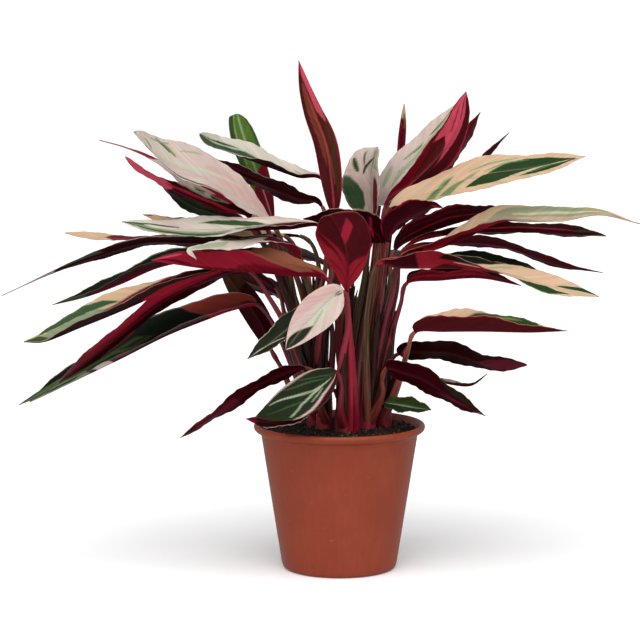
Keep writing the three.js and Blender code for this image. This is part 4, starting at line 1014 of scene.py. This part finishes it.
def rings_about(centres, side, up, radius):
    """Rings of points about a line of centres; the radius may vary along and around."""
    turn = np.linspace(0, 2 * np.pi, radius.shape[1], endpoint=False)[None, :, None]
    spokes = side[:, None] * np.cos(turn) + up[:, None] * np.sin(turn)
    return centres[:, None] + spokes * radius[..., None]


def grooved(radius):
    """The radius around each ring of a stalk, with the channel along its upper side."""
    turn = np.linspace(0, 2 * np.pi, STALK_SIDES, endpoint=False)
    return radius[:, None] * (1 - CHANNEL_DEPTH * np.clip(np.sin(turn), 0, 1) ** 3)


def add_sheath(tubes, name, number):
    """The ribbed foot of the shoot, from inside the soil to where its stalks part."""
    bottom = SOIL_EDGE - FOOT_DEPTH + CLEARANCE
    levels = [bottom, SOIL_EDGE - FOOT_DEPTH + 5, SOIL_EDGE + SOIL_MOUND + 6,
              SOIL_EDGE + 0.6 * SHEATH_HEIGHT, SOIL_EDGE + SHEATH_HEIGHT]
    radii = [FOOT_RADIUS - 2, FOOT_RADIUS, FOOT_RADIUS, FOOT_RADIUS - 1.2, SHEATH_TOP]
    z = np.linspace(bottom, levels[-1], SHEATH_ROWS)
    turn = np.linspace(0, 2 * np.pi, SHEATH_SIDES, endpoint=False)
    ribbed = 1 + SHEATH_RIB_SHARE * np.sin(SHEATH_RIBS * turn + number)
    radius = np.interp(z, levels, radii)[:, None] * ribbed
    x, y = SHOOTS[name]
    centres = np.stack([np.full_like(z, x), np.full_like(z, y), z], -1)
    flat = np.tile([[1.0, 0, 0]], (len(z), 1)), np.tile([[0, 1.0, 0]], (len(z), 1))
    tubes.add(rings_about(centres, *flat, radius), linear("carmine"), linear("rosewood"), 11.0 + number)


def make_shoot(name, number):
    tubes = Tubes()
    leaves = [leaf for leaf in LEAVES if leaf["shoot"] == name]
    lines = []
    f = np.linspace(0, 1, STALK_ROWS)
    for order, leaf in enumerate(leaves):
        points, split = line_of(leaf, order)
        centres, along, length = walk(points, 0, split, f)
        side = across_of(leaf, along)
        up = np.cross(along, side)
        knee = 1 - KNEE_LENGTH / length
        at_knee = np.clip((f - knee) / (1 - knee), 0, 1)
        radius = STALK_FOOT + (STALK_TOP - STALK_FOOT) * np.minimum(1, f / knee)
        radius = radius + (KNEE_RADIUS - STALK_TOP) * np.sin(np.pi * np.minimum(1, 1.25 * at_knee))
        plain = STALK_TONES[(SHOOT_TONES[name] + order) % len(STALK_TONES)]
        low, high = (linear(one) for one in OWN_STALKS.get(leaf["name"], plain))
        near_soil = np.clip(1 - (centres[:, 2] - SOIL_EDGE) / RED_HEIGHT, 0, 1)[:, None, None]
        low = mixed(low, linear("carmine"), 0.6 * near_soil)
        high = mixed(high, linear("rosewood"), 0.5 * near_soil)
        tubes.add(rings_about(centres, side, up, grooved(radius)), low, high, 5.7 * order + number)
        lines.append(walk(points, 0, split, np.linspace(0, SHADE_SPEAR_REACH, SHADE_SPEAR_ROWS))[0])
        for offset, reach, low_name, high_name in COMPANIONS.get(leaf["name"], ()):
            part = np.clip(f / reach, 0, 1)
            apart = 1 - COMPANION_CLOSING * part[:, None] ** 1.5
            beside = walk(points, 0, split, f * reach)[0] + [offset, COMPANION_FORWARD, 0] * apart
            beside[0, 2] -= FOOT_RISE + COMPANION_SINK
            radius = grooved(np.interp(part, COMPANION_LEVELS, COMPANION_RADII))
            tubes.add(rings_about(beside, side, up, radius), linear(low_name), linear(high_name),
                      2.9 * offset)

    # Near-black tubes shaped as rolled young sheaths between the stalks: painted shade in the dark gaps
    # between them.
    for order, other in [(order, order - step) for step in (1, 2) for order in range(len(lines))]:
        centres = SHADE_SPEAR_SHARE * lines[order] + (1 - SHADE_SPEAR_SHARE) * lines[other]
        along = unit(np.gradient(centres, axis=0))
        side = across_of(leaves[order], along)
        radius = grooved(np.interp(np.linspace(0, 1, SHADE_SPEAR_ROWS), SHADE_SPEAR_LEVELS, SHADE_SPEAR_RADII))
        tubes.add(rings_about(centres, side, np.cross(along, side), radius), linear("ink"), linear("bark"),
                  3.3 * order + other + number)

    add_sheath(tubes, name, number)
    return tubes.mesh("shoot_stalks_" + name)


# ---------------------------------------------------------------- pot and soil

WALL_FOOT = BASE_RADIUS + BASE_FLARE
WALL_TOP = RIM_RADIUS - RIM_OVERHANG
RIM_FOOT = POT_HEIGHT - RIM_DEPTH
POT_SIDES = 160
ROUNDINGS = 2
HOLE_SIDES = 32
SOIL_SIDES = 150
SOIL_RINGS = 44
PEAT_DARK = 0.35
PEAT_LIGHT = 1.3
CLOD_HEIGHT = 1.3
CLOD_SCALE = 0.16
CRUMBS = 2600
CRUMB_SMALLEST = 0.45
CRUMB_SPREAD = 1.3
# The tone of the crumbs, how bright it is, and the share of them that have it.
CRUMB_TONES = (("soot", 0.6, 0.34), ("bark", 1, 0.2), ("umber", 1, 0.16), ("olive", 1, 0.08),
               ("soot", 0.3, 0.22))


def inner_radius(z):
    return WALL_FOOT - WALL + (WALL_TOP - WALL_FOOT) * z / RIM_FOOT


def lathe(profile, sides):
    """Corners and faces of a closed turned body; the profile starts and ends on the axis."""
    turn = np.linspace(0, 2 * np.pi, sides, endpoint=False)
    corners = [(0, 0, profile[0][1]), (0, 0, profile[-1][1])]
    for r, z in profile[1:-1]:
        corners += [(r * math.cos(a), r * math.sin(a), z) for a in turn]
    rows = len(profile) - 2
    faces = grid_faces(rows, sides, True, 2)
    last = 2 + (rows - 1) * sides
    for j in range(sides):
        after = (j + 1) % sides
        faces.append((0, 2 + after, 2 + j))
        faces.append((1, last + j, last + after))
    return corners, faces


def rounded(profile):
    """The profile with each corner cut into a small curve."""
    points = [np.array(p, float) for p in profile]
    for _ in range(ROUNDINGS):
        finer = [points[0]]
        for a, b in zip(points, points[1:]):
            step = min(0.25, 1.2 / max(np.linalg.norm(b - a), 1e-6))
            finer += [a + (b - a) * step, b - (b - a) * step]
        points = finer + [points[-1]]
    return points


def make_pot():
    outside = [(0, 0), (BASE_RADIUS - 1, 0), (BASE_RADIUS + 1, 1.2), (WALL_FOOT, 5),
               (WALL_TOP, RIM_FOOT - 3), (WALL_TOP + 1, RIM_FOOT - 0.6), (RIM_RADIUS - 4, RIM_FOOT + 0.6),
               (RIM_RADIUS - 1.2, RIM_FOOT + 2.4), (RIM_RADIUS, RIM_FOOT + 4.8),
               (RIM_RADIUS, POT_HEIGHT - 2.2), (RIM_RADIUS - 1.1, POT_HEIGHT - 0.5),
               (RIM_RADIUS - 2.6, POT_HEIGHT), (RIM_RADIUS - 4.4, POT_HEIGHT - 1.2),
               (inner_radius(RIM_FOOT), RIM_FOOT - 1), (inner_radius(FLOOR), FLOOR), (0, FLOOR)]
    corners, faces = lathe(rounded(outside), POT_SIDES)
    pot = bpy.data.objects.new("pot_body", mesh_of("pot_body", corners, faces, sharp=40))
    cutters = bmesh.new()
    for i in range(DRAIN_HOLES):
        turn = 2 * math.pi * i / DRAIN_HOLES
        x, y = DRAIN_CIRCLE * MM * math.cos(turn), DRAIN_CIRCLE * MM * math.sin(turn)
        bmesh.ops.create_cone(cutters, cap_ends=True, segments=HOLE_SIDES, radius1=DRAIN_RADIUS * MM,
                              radius2=DRAIN_RADIUS * MM, depth=6 * FLOOR * MM,
                              matrix=Matrix.Translation((x, y, 0)))
    cutter = bpy.data.objects.new("drill", bpy.data.meshes.new("drill"))
    cutters.to_mesh(cutter.data)
    for made in (pot, cutter):
        bpy.context.scene.collection.objects.link(made)
    cut = pot.modifiers.new("holes", "BOOLEAN")
    cut.object, cut.operation, cut.solver = cutter, "DIFFERENCE", "EXACT"
    mesh = bpy.data.meshes.new_from_object(pot.evaluated_get(bpy.context.evaluated_depsgraph_get()))
    bpy.data.objects.remove(pot)
    bpy.data.objects.remove(cutter)
    mesh.shade_smooth()
    mesh.set_sharp_from_angle(angle=math.radians(38))
    return mesh


def soil_top(x, y):
    """The height of the peat: a low mound with lumps and clods."""
    out = min(1, math.hypot(x, y) / inner_radius(SOIL_EDGE))
    lumps = SOIL_LUMP * math.sin(x * 0.31 + 1.7 * math.cos(y * 0.19)) * math.cos(y * 0.27)
    clods = CLOD_HEIGHT * noise.fractal(Vector((x, y, 3.0)) * CLOD_SCALE, 0.8, 2.0, 4)
    return SOIL_EDGE + SOIL_MOUND * (1 - out * out) + lumps * (1 - out) + clods * (1 - 0.5 * out)


def make_soil():
    """The filling with a clodded top, and loose crumbs on it."""
    edge = inner_radius(SOIL_EDGE - RIM_DEPTH) - CLEARANCE
    profile = [(0, FLOOR + CLEARANCE), (inner_radius(FLOOR) - 2 * CLEARANCE, FLOOR + CLEARANCE),
               (edge, SOIL_EDGE - RIM_DEPTH)]
    profile += [(edge * i / SOIL_RINGS, SOIL_EDGE) for i in range(SOIL_RINGS, -1, -1)]
    corners, faces = lathe(profile, SOIL_SIDES)
    corners = [(x, y, soil_top(x, y) if z > SOIL_EDGE - 1 else z) for x, y, z in corners]
    low = [linear("soot") * PEAT_DARK] * len(corners)
    high = [linear("soot") * PEAT_LIGHT] * len(corners)
    chip = bmesh.new()
    bmesh.ops.create_icosphere(chip, subdivisions=1, radius=1)
    ball = np.array([v.co[:] for v in chip.verts])
    ball_faces = [tuple(v.index for v in face.verts) for face in chip.faces]
    shares = [share for _, _, share in CRUMB_TONES]
    for _ in range(CRUMBS):
        away, turn = edge * math.sqrt(RNG.random()), 2 * math.pi * RNG.random()
        x, y = away * math.cos(turn), away * math.sin(turn)
        size = CRUMB_SMALLEST + CRUMB_SPREAD * RNG.random() ** 3
        spin = np.array(Euler(RNG.random(3) * 6).to_matrix())
        lumpy = ball * (0.7 + 0.6 * RNG.random((len(ball), 1))) * [1.3, 1.0, 0.7]
        start = len(corners)
        z = soil_top(x, y) + 0.3 * size
        corners += (lumpy @ spin.T * size + [x, y, z]).tolist()
        faces += [tuple(start + k for k in face) for face in ball_faces]
        name, brightness, _ = CRUMB_TONES[RNG.choice(len(CRUMB_TONES), p=shares)]
        tone = linear(name) * brightness
        low += [tone * 0.7] * len(ball)
        high += [tone] * len(ball)
    return mesh_of("soil_peat", corners, faces, low=low, high=high)


# ---------------------------------------------------------------- the plant

BLADE = blade_material()
STALK = stalk_material()

piece("pot_body", make_pot(), pot_material(), "terracotta_plastic", "pot")
piece("soil_peat", make_soil(), soil_material(), "peat", "soil")
for number, shoot in enumerate(SHOOTS):
    piece("shoot_stalks_" + shoot, make_shoot(shoot, number), STALK, "stalk", "shoot_" + shoot)
for number, leaf in enumerate(LEAVES):
    order = [other["shoot"] for other in LEAVES[:number]].count(leaf["shoot"])
    piece("blade_" + leaf["name"], make_blade(leaf, order, number), BLADE, "leaf_" + leaf["colour"],
          "leaf_" + leaf["name"])

# ---------------------------------------------------------------- floor, light and camera

FLOOR_REACH = 9
PHOTO_WIDTH = 640
FOCAL_PIXELS = 2236.7
CAMERA_PLACE = (-0.01926, -2.1924, 0.5108)
CAMERA_TILT = 6.844
SENSOR = 36

floor = bpy.data.meshes.new("floor")
floor.from_pydata([(x * FLOOR_REACH, y * FLOOR_REACH, 0) for x, y in ((-1, -1), (1, -1), (1, 1), (-1, 1))],
                  [], [(0, 1, 2, 3)])
floor.materials.append(floor_material())
floor_piece = bpy.data.objects.new("floor", floor)
bpy.context.scene.collection.objects.link(floor_piece)
floor_piece.visible_glossy = False

# The backdrop looks white, but lights the plant only softly.
world = bpy.data.worlds.new("studio")
world.use_nodes = True
tree = world.node_tree
backdrop = tree.nodes["Background"]
backdrop.inputs[0].default_value = (1, 1, 1, 1)
seen = add(tree, "ShaderNodeLightPath").outputs["Is Camera Ray"]
tree.links.new(remap(tree, seen, 0.0, 1.0, AMBIENT, BACKDROP), backdrop.inputs[1])
bpy.context.scene.world = world
bpy.context.scene.view_settings.view_transform = "Standard"


def softbox(name, azimuth, elevation, strength, angle):
    """A soft distant light from a direction, in degrees from the front, towards the right."""
    data = bpy.data.lights.new(name, "SUN")
    data.energy, data.angle = strength, math.radians(angle)
    lamp = bpy.data.objects.new(name, data)
    lamp.rotation_euler = (math.radians(90 - elevation), 0, math.radians(azimuth))
    bpy.context.scene.collection.objects.link(lamp)


softbox("key", azimuth=-30, elevation=50, strength=2.5, angle=70)
softbox("fill", azimuth=36, elevation=42, strength=1.7, angle=80)

camera = bpy.data.objects.new("camera", bpy.data.cameras.new("camera"))
camera.location = CAMERA_PLACE
camera.rotation_euler = (math.radians(90 - CAMERA_TILT), 0, 0)
camera.data.sensor_width = SENSOR
camera.data.lens = SENSOR * FOCAL_PIXELS / PHOTO_WIDTH
camera.data.clip_end = 50
bpy.context.scene.collection.objects.link(camera)
bpy.context.scene.camera = camera
